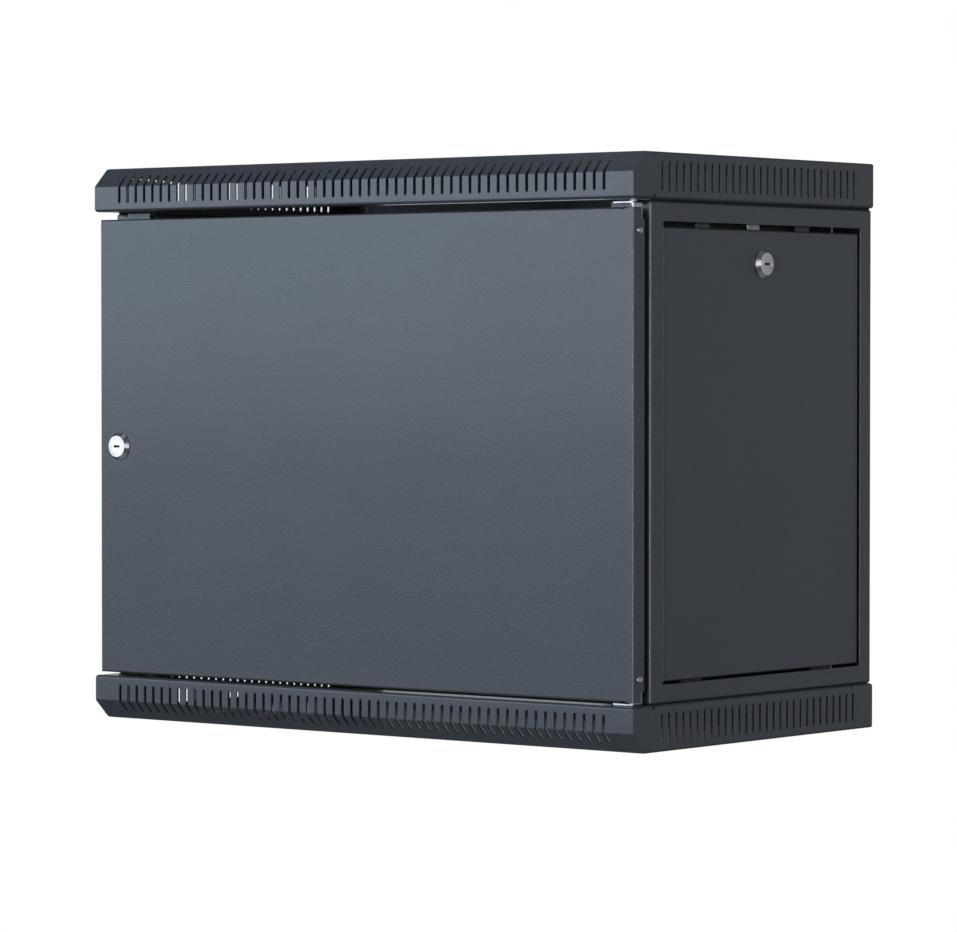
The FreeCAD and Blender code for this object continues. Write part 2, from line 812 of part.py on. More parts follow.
def door_shell():
    """Door pan with a fold on every side and reliefs for the hinge leaves."""
    piece = Piece("door_shell")
    outline = ("-door_side", "door_side", "door_bottom", "door_top")
    piece.pad("XZ_Plane", "door_front", "door_back", box(*outline))
    front = value("door_front")
    piece.round_edges(
        "door_bend",
        {"y": front, "x": value("door_side")},
        {"y": front, "x": -value("door_side")},
        {"y": front, "z": value("door_top")},
        {"y": front, "z": value("door_bottom")},
    )
    inside = (
        "door_sheet - door_side",
        "door_side - door_sheet",
        "door_bottom + door_sheet",
        "door_top - door_sheet",
    )
    piece.cut("XZ_Plane", "door_inner", "door_back", box(*inside))
    # The hinge leaves leave the pan through reliefs in its upper and lower folds.
    relief = ("door_side - door_relief", "door_side - door_sheet", "door_inner", "door_back")
    piece.cut("XY_Plane", "door_top - door_sheet", "door_top", box(*relief))
    piece.cut("XY_Plane", "door_bottom", "door_bottom + door_sheet", box(*relief))
    # The hinge-side fold is shallower at both ends.
    back = ("door_back - fold_notch", "door_back")
    piece.cut(
        "YZ_Plane",
        "door_side - door_sheet",
        "door_side",
        box(*back, "door_top - fold_notch_height", "door_top"),
        box(*back, "door_bottom", "door_bottom + fold_notch_height"),
    )
    screws = [hole("pivot_y", z, "screw_hole") for z in leaf_screw_heights()]
    piece.cut("YZ_Plane", "door_side - door_sheet", "door_side", *screws)
    lock = regular("door_lock_inset - half_width", "door_middle", "barrel_radius", BARREL_SIDES)
    piece.cut("XZ_Plane", "door_front", "door_inner", lock)
    return piece


def leaf_screw_heights():
    """Heights of the two screws that hold the hinge leaves in the door."""
    return ("door_top - leaf_screw_drop", "door_bottom + leaf_screw_drop")


def door_stiffener():
    """Hat section welded to the inside of the door."""
    piece = Piece("door_stiffener")
    foot = "door_inner + door_sheet"
    crown = "door_inner + stiffener_depth"
    half = "stiffener_width / 2"
    web = "stiffener_width / 2 - stiffener_foot"
    piece.pad(
        "XY_Plane",
        "door_bottom + door_sheet + stiffener_end_gap",
        "door_top - door_sheet - stiffener_end_gap",
        shape(
            (f"-({half})", "door_inner"),
            (f"door_sheet - ({web})", "door_inner"),
            (f"door_sheet - ({web})", f"{crown} - door_sheet"),
            (f"{web} - door_sheet", f"{crown} - door_sheet"),
            (f"{web} - door_sheet", "door_inner"),
            (half, "door_inner"),
            (half, foot),
            (web, foot),
            (web, crown),
            (f"-({web})", crown),
            (f"-({web})", foot),
            (f"-({half})", foot),
        ),
    )
    return piece


def hinge_leaf(label, up):
    """Zinc-plated angle screwed inside the door's fold, with the eye that turns on the pin."""
    piece = Piece(label)
    y_ends = ("leaf_front", "leaf_front + leaf_depth")
    eye = ("upper_leaf_low", "upper_leaf_high") if up > 0 else ("lower_leaf_low", "lower_leaf_high")
    inner = "leaf_face - leaf_sheet"
    piece.pad("XY_Plane", *eye, box("leaf_face - leaf_width", "leaf_face", *y_ends))
    if up > 0:
        leg = ("upper_leaf_high - leaf_height", "upper_leaf_high")
    else:
        leg = ("lower_leaf_low", "lower_leaf_low + leaf_height")
    piece.pad("XY_Plane", *leg, box(inner, "leaf_face", *y_ends))
    bore = regular("pivot_x", "pivot_y", "pin_radius + pin_clearance", BARREL_SIDES)
    piece.cut("XY_Plane", *eye, bore)
    screw = hole("pivot_y", leaf_screw_heights()[0 if up > 0 else 1], "screw_hole")
    piece.cut("YZ_Plane", inner, "leaf_face", screw)
    return piece


def hinge_pin(label, up):
    """Pin welded to the cover's lip, round which the leaf's eye turns."""
    piece = Piece(label)
    if up > 0:
        ends = ("upper_leaf_low - pin_overrun", "cover_edge")
    else:
        ends = ("-cover_edge", "lower_leaf_high + pin_overrun")
    piece.pad("XY_Plane", *ends, disc("pivot_x", "pivot_y", "pin_radius"))
    return piece


class Lock:
    """Quarter-turn cam lock, built about its own Z axis with the wall's outer face at zero."""

    def __init__(self, name, wall, barrel, cam_length, cam_turn, spot, rotation):
        self.name = name
        self.wall = wall
        self.barrel = barrel
        self.cam_length = cam_length
        self.cam_turn = cam_turn
        self.spot = spot
        self.rotation = rotation

    def build(self):
        """Make the housing, nut, plug, cam and cam screw and stand them in the wall."""
        for piece in (self.housing(), self.nut(), self.plug(), self.cam_screw()):
            piece.place(*self.spot, self.rotation)
        turned = self.rotation.multiply(Rotation(Vector(0, 0, 1), self.cam_turn))
        self.cam().place(*self.spot, turned)

    def housing(self):
        """Rosette with a bevelled rim and the threaded barrel behind it, bored for the plug."""
        piece = Piece(self.name + "_housing")
        piece.pad("XY_Plane", "0", "rosette_height", regular("0", "0", "rosette_radius", ROSETTE_SIDES))
        slope = ("rosette_height - rosette_rim", "rosette_radius - rosette_face_radius")
        piece.bevel(*slope, {"z": value("rosette_height")})
        back = f"-({self.barrel})"
        piece.pad("XY_Plane", back, "0", regular("0", "0", "barrel_radius", BARREL_SIDES))
        bore = "plug_radius + plug_clearance"
        piece.cut("XY_Plane", back, "rosette_height", regular("0", "0", bore, BARREL_SIDES))
        return piece

    def nut(self):
        """Hexagon nut that clamps the wall against the rosette."""
        piece = Piece(self.name + "_nut")
        ends = (f"-({self.wall} + nut_height)", f"-({self.wall})")
        outline = regular("0", "0", "nut_across / 2", 6)
        piece.pad("XY_Plane", *ends, outline, regular("0", "0", "barrel_radius", BARREL_SIDES))
        return piece

    def plug(self):
        """Turning plug with the key slot in front and a square tail for the cam."""
        piece = Piece(self.name + "_plug")
        back = f"-({self.barrel} + cam_clear)"
        piece.pad("XY_Plane", back, "rosette_height - plug_recess", disc("0", "0", "plug_radius"))
        piece.pad("XY_Plane", f"{back} - cam_sheet", back, box(*square("cam_square")))
        long, wide = "key_slot_length / 2", "key_slot_width / 2"
        slot = (f"-({long})", long, f"-({wide})", wide)
        face = "rosette_height - plug_recess"
        piece.cut("XY_Plane", f"{face} - key_slot_depth", face, box(*slot))
        return piece

    def cam(self):
        """Flat cam with a round heel and a square hole, pointing along X."""
        piece = Piece(self.name + "_cam")
        far = f"-({self.barrel} + cam_clear)"
        near = f"{far} - cam_sheet"
        half = "cam_width / 2"
        heel = f"{half} * {math.sqrt(0.5):.6f}"
        tip = f"({self.cam_length})"
        piece.pad(
            "XY_Plane",
            near,
            far,
            shape(
                ("0", f"-({half})"),
                (f"{tip} - cam_corner", f"-({half})"),
                (tip, f"cam_corner - {half}"),
                (tip, f"{half} - cam_corner"),
                (f"{tip} - cam_corner", half),
                ("0", half),
                (f"-({heel})", heel),
                (f"-({half})", "0"),
                (f"-({heel})", f"-({heel})"),
            ),
        )
        piece.cut("XY_Plane", near, far, box(*square("cam_square + cam_square_clear")))
        return piece

    def cam_screw(self):
        """Screw head that holds the cam on the plug's tail."""
        piece = Piece(self.name + "_cam_screw")
        far = f"-({self.barrel} + cam_clear + cam_sheet)"
        outline = regular("0", "0", "cam_screw_across / 2", 6)
        piece.pad("XY_Plane", f"{far} - cam_screw_head", far, outline)
        return piece


def square(side):
    """Ends of a square about the sketch's origin."""
    return (f"-({side}) / 2", f"({side}) / 2", f"-({side}) / 2", f"({side}) / 2")


def prism(start, direction, radius, sides, height):
    """Prism with its flats at a radius about the line from start along direction."""
    across = Vector(0, 0, 1).cross(direction)
    across = Vector(1, 0, 0) if across.Length < 0.5 else across.normalize()
    reach = radius / math.cos(math.pi / sides)
    corners = []
    for i in range(sides + 1):
        turn = Rotation(direction, 180.0 * (2 * i + 1) / sides)
        corners.append(start + turn.multVec(across * reach))
    return Part.Face(Part.makePolygon(corners)).extrude(direction * height)


def fastener(start, direction, length, radius, head_radius, head_sides, head):
    """Bolt or screw whose head ends at start, with its shank along direction."""
    shank = prism(start, direction, radius, HOLE_SIDES, length)
    top = prism(start - direction * head, direction, head_radius, head_sides, head)
    return top.fuse(shank).removeSplitter()


def bolt(start, direction, length):
    """Hexagon bolt."""
    size = (value("bolt_radius"), value("bolt_head_across") / 2, 6, value("bolt_head"))
    return fastener(start, direction, length, *size)


def screw(start, direction, length):
    """Pan-head screw."""
    size = (value("screw_radius"), value("screw_head_radius"), HOLE_SIDES, value("screw_head"))
    return fastener(start, direction, length, *size)


def fasteners():
    """Grouped bolts, screws and shims."""
    upper, lower, shims = [], [], []
    for x, y in corner_bolt_places():
        start = point(x, y, "frame_top - frame_sheet - carrier_sheet")
        length = value("carrier_sheet + frame_sheet + frame_shim + cover_sheet + bolt_grip")
        upper.append(bolt(start, Vector(0, 0, 1), length))
        start = point(x, y, "frame_bottom + frame_sheet + carrier_sheet")
        length = value("carrier_sheet + frame_sheet + cover_sheet + bolt_grip")
        lower.append(bolt(start, Vector(0, 0, -1), length))
        base, up, shim = point(x, y, "frame_top"), Vector(0, 0, 1), value("frame_shim")
        outer = prism(base, up, value("bolt_head_across") / 2, HOLE_SIDES, shim)
        shims.append(outer.cut(prism(base, up, value("bolt_hole"), HOLE_SIDES, shim)))
    feature("upper_corner_bolts", upper)
    feature("lower_corner_bolts", lower)
    feature("frame_shims", shims)

    rails = []
    for side in (1, -1):
        for y, z in rail_bolt_places():
            start = point(f"{side} * (rail_outer - rail_sheet)", y, z)
            rails.append(bolt(start, Vector(side, 0, 0), value("rail_sheet + carrier_sheet + bolt_grip")))
    feature("rail_bolts", rails)

    backs = []
    for side in (1, -1):
        for x, z in rear_screw_places(side):
            start = point(x, "-(frame_sheet + rear_sheet)", z)
            backs.append(screw(start, Vector(0, 1, 0), value("frame_sheet + rear_sheet - touch_clear")))
    feature("rear_panel_screws", backs)

    plates = []
    for side in (1, -1):
        for x, y in entry_screw_places():
            start = point(x, y, f"{side} * (half_height - cover_sheet - entry_plate)")
            plates.append(screw(start, Vector(0, 0, side), value("cover_sheet + entry_plate - touch_clear")))
    feature("entry_plate_screws", plates)

    leaves = []
    for z in leaf_screw_heights():
        start = point("door_side", "pivot_y", z)
        leaves.append(screw(start, Vector(-1, 0, 0), value("door_sheet + leaf_sheet")))
    feature("hinge_leaf_screws", leaves)


def buffers():
    """Rubber buffers on the left side frame that the closed door meets."""
    solids = []
    width = value("buffer_width")
    depth = value("frame_front - door_back - touch_clear")
    for rise in (-1, 1):
        z = f"{rise} * buffer_rise - buffer_width / 2"
        corner = point("buffer_inset - frame_face", "door_back + touch_clear", z)
        solids.append(Part.makeBox(width, depth, width, corner))
    return feature("door_buffers", solids)


def earth_point():
    """Threaded earth stud on the bottom cover and the nut at its foot."""
    spot = ("stud_x", "-stud_setback", "cover_sheet - half_height")
    stud = Piece("earth_stud")
    neck = f"stud_neck * {math.cos(math.pi / HOLE_SIDES):.6f}"
    stud.pad("XY_Plane", "0", "stud_neck_height", regular("0", "0", neck, HOLE_SIDES))
    stud.pad("XY_Plane", "stud_neck_height", "stud_height", disc("0", "0", "bolt_radius"))
    stud.place(*spot, Rotation())
    nut = Piece("earth_nut")
    outline = regular("0", "0", "bolt_head_across / 2", 6)
    nut.pad("XY_Plane", "0", "bolt_head", outline, hole("0", "0", "stud_neck"))
    nut.place(*spot, Rotation())


def locks():
    """The locks of the door and of both side panels."""
    to_front = Rotation(Vector(1, 0, 0), Vector(0, 0, 1), Vector(0, -1, 0), "ZXY")
    to_right = Rotation(Vector(0, 1, 0), Vector(0, 0, 1), Vector(1, 0, 0), "ZXY")
    to_left = Rotation(Vector(0, -1, 0), Vector(0, 0, 1), Vector(-1, 0, 0), "ZXY")
    barrel = "frame_front + frame_sheet - door_front"
    spot = ("door_lock_inset - half_width", "door_front", "door_middle")
    Lock("door_lock", "door_sheet", barrel, "door_cam_length", -90.0, spot, to_front).build()
    barrel = "panel_fold + stop_clear + stop_sheet"
    spot = ("panel_face", "panel_middle", "side_lock_z")
    Lock("right_lock", "panel_sheet", barrel, "side_cam_length", 0.0, spot, to_right).build()
    spot = ("-(panel_face)", "panel_middle", "side_lock_z")
    Lock("left_lock", "panel_sheet", barrel, "side_cam_length", 180.0, spot, to_left).build()


def build():
    """Make every sub-part."""
    cover("top_cover", 1)
    cover("bottom_cover", -1)
    for side, hand in ((1, "right"), (-1, "left")):
        side_frame(hand + "_side_frame", side)
        side_panel(hand + "_side_panel", side)
        stops = [(f"panel_middle {sign} stop_offset", "stop_width") for sign in ("-", "+")]
        clip(hand + "_panel_stops", side, stops)
        clip(hand + "_lock_striker", side, [("panel_middle", "striker_width")])
        rail(hand + "_rail", side)
        carrier("upper_" + hand + "_carrier", side, 1)
        carrier("lower_" + hand + "_carrier", side, -1)
    rear_panel()
    entry_plate("top_entry_plate", 1)
    entry_plate("bottom_entry_plate", -1)
    door_shell()
    door_stiffener()
    hinge_leaf("upper_hinge_leaf", 1)
    hinge_leaf("lower_hinge_leaf", -1)
    hinge_pin("upper_hinge_pin", 1)
    hinge_pin("lower_hinge_pin", -1)
    locks()
    fasteners()
    buffers()
    earth_point()


def check_and_export():
    """Recompute, refuse a failed object or a bad shape, and write one STEP file per sub-part."""
    DOC.recompute()
    for item in DOC.Objects:
        if "Invalid" in item.State or "Error" in item.State:
            raise ValueError(f"{item.Label} failed: {item.State}")
    for item in SUBPARTS:
        if item.Shape.isNull() or not item.Shape.isValid():
            raise ValueError(f"{item.Label} has a bad shape")
    os.makedirs("parts", exist_ok=True)
    for item in SUBPARTS:
        item.Shape.exportStep(f"parts/{item.Label}.step")
        print(item.Label, len(item.Shape.Solids), round(item.Shape.Volume, 1))


build()
check_and_export()
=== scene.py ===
import json
import logging
import math
from dataclasses import dataclass, field
from enum import Enum

import bpy
import numpy as np
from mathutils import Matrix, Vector


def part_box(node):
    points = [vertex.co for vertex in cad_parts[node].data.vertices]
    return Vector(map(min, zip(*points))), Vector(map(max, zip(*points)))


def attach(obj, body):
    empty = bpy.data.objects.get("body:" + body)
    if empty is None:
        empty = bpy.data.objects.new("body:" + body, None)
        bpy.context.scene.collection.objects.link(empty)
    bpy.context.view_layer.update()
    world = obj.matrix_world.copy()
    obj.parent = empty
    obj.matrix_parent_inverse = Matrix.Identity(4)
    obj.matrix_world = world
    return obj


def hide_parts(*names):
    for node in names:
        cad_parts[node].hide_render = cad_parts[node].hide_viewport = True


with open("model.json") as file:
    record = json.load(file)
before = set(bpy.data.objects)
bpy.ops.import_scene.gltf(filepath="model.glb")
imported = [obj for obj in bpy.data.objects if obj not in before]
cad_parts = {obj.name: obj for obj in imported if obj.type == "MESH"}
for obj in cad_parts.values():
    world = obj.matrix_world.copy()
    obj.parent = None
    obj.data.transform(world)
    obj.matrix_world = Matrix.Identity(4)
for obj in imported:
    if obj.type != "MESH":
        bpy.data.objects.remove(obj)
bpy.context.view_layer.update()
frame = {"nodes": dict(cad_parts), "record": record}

# Wall mount network cabinet. Metres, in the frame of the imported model: X to the right seen from
# the front, Y from the front into the wall, Z up, with the origin amid the four wall holes.
# Sheet metal is folded from flat facets, locks and screws are turned from rings of points, and the
# nodes that no piece replaces keep their shape.

LOG = logging.getLogger("cabinet")
MM = 0.001
TINY = 1e-9


class Hand(Enum):
    """Side of the cabinet, seen from the front."""

    RIGHT = 1
    LEFT = -1


class Level(Enum):
    """Upper or lower end of the cabinet."""

    UPPER = 1
    LOWER = -1


# ---------------------------------------------------------------- shader groups


@dataclass(frozen=True)
class Wiring:
    """Short hand for adding nodes to one node tree."""

    tree: bpy.types.NodeTree

    def node(self, kind: str, **settings: object) -> bpy.types.Node:
        """Add a node.

        Args:
            kind: Blender's name for the node.
            settings: the node's options.

        Returns:
            The node.
        """
        made = self.tree.nodes.new(kind)
        for label, setting in settings.items():
            setattr(made, label, setting)
        return made

    def link(self, source: object, target: bpy.types.NodeSocket) -> None:
        """Feed an input.

        Args:
            source: socket, or a number, vector or colour to set it to.
            target: the input.
        """
        if isinstance(source, bpy.types.NodeSocket):
            self.tree.links.new(source, target)
        else:
            target.default_value = source

    def fill(self, node: bpy.types.Node, inputs: dict) -> bpy.types.Node:
        """Feed a node's inputs.

        Args:
            node: the node.
            inputs: socket or value for each input, by the input's name or number.

        Returns:
            The node.
        """
        for label, source in inputs.items():
            self.link(source, node.inputs[label])
        return node

    def math(self, operation: str, *terms: object) -> bpy.types.NodeSocket:
        """Sum, product or other result of one or two terms.

        Args:
            operation: Blender's name for it.
            terms: socket or number each.

        Returns:
            The result's socket.
        """
        return self.fill(self.node("ShaderNodeMath", operation=operation), dict(enumerate(terms))).outputs[0]

    def noise(self, where: bpy.types.NodeSocket, scale: object, detail: float) -> bpy.types.NodeSocket:
        """Soft noise.

        Args:
            where: coordinates.
            scale: socket or number of cells per metre.
            detail: octaves.

        Returns:
            Socket with a value from 0 to 1.
        """
        made = self.node("ShaderNodeTexNoise")
        return self.fill(made, {"Vector": where, "Scale": scale, "Detail": detail}).outputs["Fac"]

    def span(
        self, fac: bpy.types.NodeSocket, low: float, high: float, to_low: float = 0.0, to_high: float = 1.0
    ) -> bpy.types.NodeSocket:
        """Carry a value from one span to another and hold it at the ends.

        Args:
            fac: the value.
            low, high: ends of its own span.
            to_low, to_high: what those ends become.

        Returns:
            The result's socket.
        """
        ends = {"Value": fac, "From Min": low, "From Max": high, "To Min": to_low, "To Max": to_high}
        return self.fill(self.node("ShaderNodeMapRange"), ends).outputs["Result"]

    def mix(self, fac: object, first: object, second: object) -> bpy.types.NodeSocket:
        """Mix two colours.

        Args:
            fac: socket or number, 0 for the first colour and 1 for the second.
            first, second: socket or colour.

        Returns:
            The mixed colour's socket.
        """
        return self.fill(self.node("ShaderNodeMix", data_type="RGBA"), {0: fac, 6: first, 7: second}).outputs[2]


def new_group(name: str, knob: str, default: float, outputs: tuple) -> tuple:
    """Start a shader node group that takes a Vector and one number.

    Args:
        name: name of the group.
        knob: name of the number.
        default: the number's default.
        outputs: names of the values that come out.

    Returns:
        The group's wiring, input node and output node.
    """
    tree = bpy.data.node_groups.new(name, "ShaderNodeTree")
    tree.interface.new_socket(name="Vector", in_out="INPUT", socket_type="NodeSocketVector")
    tree.interface.new_socket(name=knob, in_out="INPUT", socket_type="NodeSocketFloat").default_value = default
    for label in outputs:
        tree.interface.new_socket(name=label, in_out="OUTPUT", socket_type="NodeSocketFloat")
    return Wiring(tree), tree.nodes.new("NodeGroupInput"), tree.nodes.new("NodeGroupOutput")


def coat_grain_group() -> bpy.types.NodeTree:
    """Powder coat's leathery skin: a height of soft wrinkled cells, a slow change of tone, and flecks.

    Height is 1.6 times the coarse noise's distance from a half, plus 0.35 times a noise 2.7 times as
    fine. Tone is a slow noise, and Speck the upper part of a very fine one.

    Returns:
        Group with Vector and Cells per metre, and outputs Height, Tone and Speck.
    """
    wire, into, out = new_group("coat grain", "Cells", 420.0, ("Height", "Tone", "Speck"))
    where, cells = into.outputs["Vector"], into.outputs["Cells"]
    coarse = wire.noise(where, cells, 2.0)
    fine = wire.noise(where, wire.math("MULTIPLY", cells, 2.7), 1.0)
    sharp = wire.math("ABSOLUTE", wire.math("SUBTRACT", coarse, 0.5))
    height = wire.math("ADD", wire.math("MULTIPLY", sharp, 1.6), wire.math("MULTIPLY", fine, 0.35))
    speck = wire.span(wire.noise(where, 900.0, 1.0), 0.35, 0.7)
    wire.fill(out, {"Height": height, "Tone": wire.noise(where, 9.0, 2.0), "Speck": speck})
    return wire.tree


def edge_wear_group() -> bpy.types.NodeTree:
    """Mask that is 1 along worn convex edges: pointiness above flat, broken up by a noise.

    Returns:
        Group with Vector and Amount, and output Mask.
    """
    wire, into, out = new_group("edge wear", "Amount", 0.5, ("Mask",))
    corner = wire.span(wire.node("ShaderNodeNewGeometry").outputs["Pointiness"], 0.51, 0.6)
    broken = wire.span(wire.noise(into.outputs["Vector"], 160.0, 3.0), 0.35, 0.65)
    worn = wire.math("MULTIPLY", wire.math("MULTIPLY", corner, broken), into.outputs["Amount"])
    wire.link(worn, out.inputs["Mask"])
    return wire.tree


def dust_group() -> bpy.types.NodeTree:
    """Mask of a thin film on faces that look up: the normal's upward share times a slow noise.

    Returns:
        Group with Vector and Amount, and output Mask.
    """
    wire, into, out = new_group("dust film", "Amount", 0.2, ("Mask",))
    split = wire.node("ShaderNodeSeparateXYZ")
    wire.link(wire.node("ShaderNodeNewGeometry").outputs["Normal"], split.inputs[0])
    upward = wire.span(split.outputs["Z"], 0.6, 1.0)
    patchy = wire.span(wire.noise(into.outputs["Vector"], 24.0, 4.0), 0.3, 0.75, 0.25)
    film = wire.math("MULTIPLY", wire.math("MULTIPLY", upward, patchy), into.outputs["Amount"])
    wire.link(film, out.inputs["Mask"])
    return wire.tree


@dataclass
class Effects:
    """Shader groups shared by the finishes, built once."""

    grain: bpy.types.NodeTree = field(default_factory=coat_grain_group)
    wear: bpy.types.NodeTree = field(default_factory=edge_wear_group)
    dust: bpy.types.NodeTree = field(default_factory=dust_group)


# ---------------------------------------------------------------- finishes


@dataclass(frozen=True)
class Finish:
    """Start of a material: its nodes, its surface shader and Object coordinates."""

    title: str
    slot: str

    def begin(self) -> tuple:
        """Start the material.

        Returns:
            Material, wiring, surface shader and the socket of the Object coordinates.
        """
        material = bpy.data.materials.new(self.title)
        material.use_nodes = True
        wire = Wiring(material.node_tree)
        shader = material.node_tree.nodes["Principled BSDF"]
        return material, wire, shader, wire.node("ShaderNodeTexCoord").outputs["Object"]

    def place(
        self, wire: Wiring, tree: bpy.types.NodeTree, where: bpy.types.NodeSocket, **values: float
    ) -> bpy.types.Node:
        """Put a shared effect in the material.

        Args:
            wire: the material's wiring.
            tree: the effect's group.
            where: coordinates.
            values: the effect's own values, by input.

        Returns:
            The group's node.
        """
        return wire.fill(wire.node("ShaderNodeGroup", node_tree=tree), {"Vector": where, **values})

    def bump(self, wire: Wiring, height: bpy.types.NodeSocket, strength: float, depth: float) -> bpy.types.NodeSocket:
        """Turn a height into a normal.

        Args:
            wire: the material's wiring.
            height: socket with a height from 0 to 1.
            strength: share of the bump that shows.
            depth: metres between heights 0 and 1.

        Returns:
            The normal's socket.
        """
        made = wire.node("ShaderNodeBump")
        return wire.fill(made, {"Strength": strength, "Distance": depth, "Height": height}).outputs["Normal"]


@dataclass(frozen=True)
class PowderCoat(Finish):
    """Textured powder coat over steel."""

    colour: tuple = (0.040, 0.050, 0.064, 1.0)
    dusty: tuple = (0.32, 0.32, 0.31, 1.0)
    cells: float = 420.0
    roughness: float = 0.36
    relief: float = 0.35 * MM
    strength: float = 0.65
    wear: float = 0.25
    film: float = 0.10
    flecks: float = 0.40
    lacquer: float = 0.45
    lacquer_roughness: float = 0.16

    def shade(self, gain: float, rise: float = 0.0) -> tuple:
        """The coat's colour times a gain, plus a rise."""
        return tuple(min(1.0, gain * c + rise) for c in self.colour[:3]) + (1.0,)

    def build(self, effects: Effects) -> bpy.types.Material:
        """Make the material: grain in bump and tone, light film on top, and rubbed corners.

        Args:
            effects: the shared groups.

        Returns:
            The material.
        """
        material, wire, shader, where = self.begin()
        grain = self.place(wire, effects.grain, where, Cells=self.cells)
        worn = self.place(wire, effects.wear, where, Amount=self.wear)
        film = self.place(wire, effects.dust, where, Amount=self.film)
        tone = wire.mix(wire.span(grain.outputs["Tone"], 0.3, 0.7), self.shade(0.90), self.shade(1.08))
        flecked = wire.mix(wire.math("MULTIPLY", grain.outputs["Speck"], self.flecks), tone, self.shade(1.8))
        edged = wire.mix(worn.outputs["Mask"], flecked, self.shade(2.0, 0.02))
        wire.fill(shader, {
            "Base Color": wire.mix(film.outputs["Mask"], edged, self.dusty),
            "Roughness": wire.span(grain.outputs["Speck"], 0.0, 1.0, self.roughness - 0.05, self.roughness + 0.07),
            "Specular IOR Level": 0.5,
            "Coat Weight": self.lacquer,
            "Coat Roughness": self.lacquer_roughness,
            "Normal": self.bump(wire, grain.outputs["Height"], self.strength, self.relief),
        })
        return material


@dataclass(frozen=True)
class BrightMetal(Finish):
    """Plated or polished metal with fine lines and faint patches."""

    colour: tuple = (0.86, 0.86, 0.87, 1.0)
    stain: tuple = (0.62, 0.62, 0.63, 1.0)
    roughness: float = 0.12
    spread: float = 0.10
    cells: float = 600.0
    relief: float = 0.02 * MM
    strength: float = 0.3

    def build(self, effects: Effects) -> bpy.types.Material:
        """Make the material: stain in tone, patches in gloss, fine lines in bump.

        Args:
            effects: the shared groups; not used.

        Returns:
            The material.
        """
        material, wire, shader, where = self.begin()
        slow = wire.span(wire.noise(where, 60.0, 4.0), 0.35, 0.7)
        patch = wire.noise(where, 240.0, 3.0)
        wire.fill(shader, {
            "Base Color": wire.mix(slow, self.colour, self.stain),
            "Roughness": wire.span(patch, 0.3, 0.7, self.roughness, self.roughness + self.spread),
            "Metallic": 1.0,
            "Normal": self.bump(wire, wire.noise(where, self.cells, 2.0), self.strength, self.relief),
        })
        return material


@dataclass(frozen=True)
class Rubber(Finish):
    """Black rubber with a dull moulded skin."""

    colour: tuple = (0.018, 0.018, 0.019, 1.0)
    pale: tuple = (0.03, 0.03, 0.031, 1.0)
    dusty: tuple = (0.2, 0.2, 0.2, 1.0)
    film: float = 0.25
    relief: float = 0.05 * MM
    strength: float = 0.35

    def build(self, effects: Effects) -> bpy.types.Material:
        """Make the material: dull, lightly pitted, with dust on top.

        Args:
            effects: the shared groups.

        Returns:
            The material.
        """
        material, wire, shader, where = self.begin()
        film = self.place(wire, effects.dust, where, Amount=self.film)
        tone = wire.mix(wire.noise(where, 300.0, 2.0), self.colour, self.pale)
        wire.fill(shader, {
            "Base Color": wire.mix(film.outputs["Mask"], tone, self.dusty),
            "Roughness": wire.span(wire.noise(where, 500.0, 2.0), 0.3, 0.7, 0.7, 0.86),
            "Normal": self.bump(wire, wire.noise(where, 1500.0, 2.0), self.strength, self.relief),
        })
        return material


@dataclass
class Palette:
    """Every finish of the cabinet, built once."""

    effects: Effects
    made: dict = field(default_factory=dict)

    def __post_init__(self) -> None:
        """Build each finish under its slot's name."""
        finishes = (
            PowderCoat("cabinet powder coat", "cabinet_coat"),
            PowderCoat("rail powder coat", "rail_coat", cells=520.0, roughness=0.5),
            BrightMetal("lock chrome", "lock_chrome"),
            BrightMetal("plug chrome", "lock_plug", roughness=0.16),
            BrightMetal(
                "zinc plate", "zinc_plate", colour=(0.66, 0.67, 0.68, 1.0), stain=(0.44, 0.46, 0.48, 1.0),
                roughness=0.3, spread=0.18, relief=0.03 * MM,
            ),
            BrightMetal(
                "brass", "brass_stud", colour=(0.72, 0.52, 0.24, 1.0), stain=(0.5, 0.35, 0.15, 1.0), roughness=0.25
            ),
            Rubber("buffer rubber", "buffer_rubber"),
        )
        self.made = {finish.slot: finish.build(self.effects) for finish in finishes}

    def dress(self, piece: bpy.types.Object, slot: str, body: str) -> bpy.types.Object:
        """Give a piece its finish and let it ride on its body.

        Args:
            piece: the finished object.
            slot: the record's material slot.
            body: the body that the piece moves with.

        Returns:
            The piece.
        """
        piece.data.materials.clear()
        piece.data.materials.append(self.made[slot])
        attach(piece, body)
        LOG.info("%s in %s on %s", piece.name, slot, body)
        return piece


# ---------------------------------------------------------------- surfaces


def new_piece(name: str, spots: np.ndarray, faces: list) -> bpy.types.Object:
    """Object at the origin with a mesh of its own.

    Args:
        name: the object's name.
        spots: corners in three columns.
        faces: the numbers of each face's corners.

    Returns:
        The object.
    """
    mesh = bpy.data.meshes.new(name)
    mesh.from_pydata(spots.tolist(), [], faces)
    mesh.update()
    piece = bpy.data.objects.new(name, mesh)
    bpy.context.scene.collection.objects.link(piece)
    return piece


def numbers(elements: bpy.types.bpy_prop_collection, label: str, kind: type, columns: int = 1) -> np.ndarray:
    """One attribute of all of a mesh's vertices, edges, loops or faces.

    Args:
        elements: the mesh's elements.
        label: name of the attribute.
        kind: kind of number.
        columns: numbers for each element.

    Returns:
        Array with a row for each element, or flat where each has one number.
    """
    values = np.empty(len(elements) * columns, kind)
    elements.foreach_get(label, values)
    return values.reshape(-1, columns) if columns > 1 else values


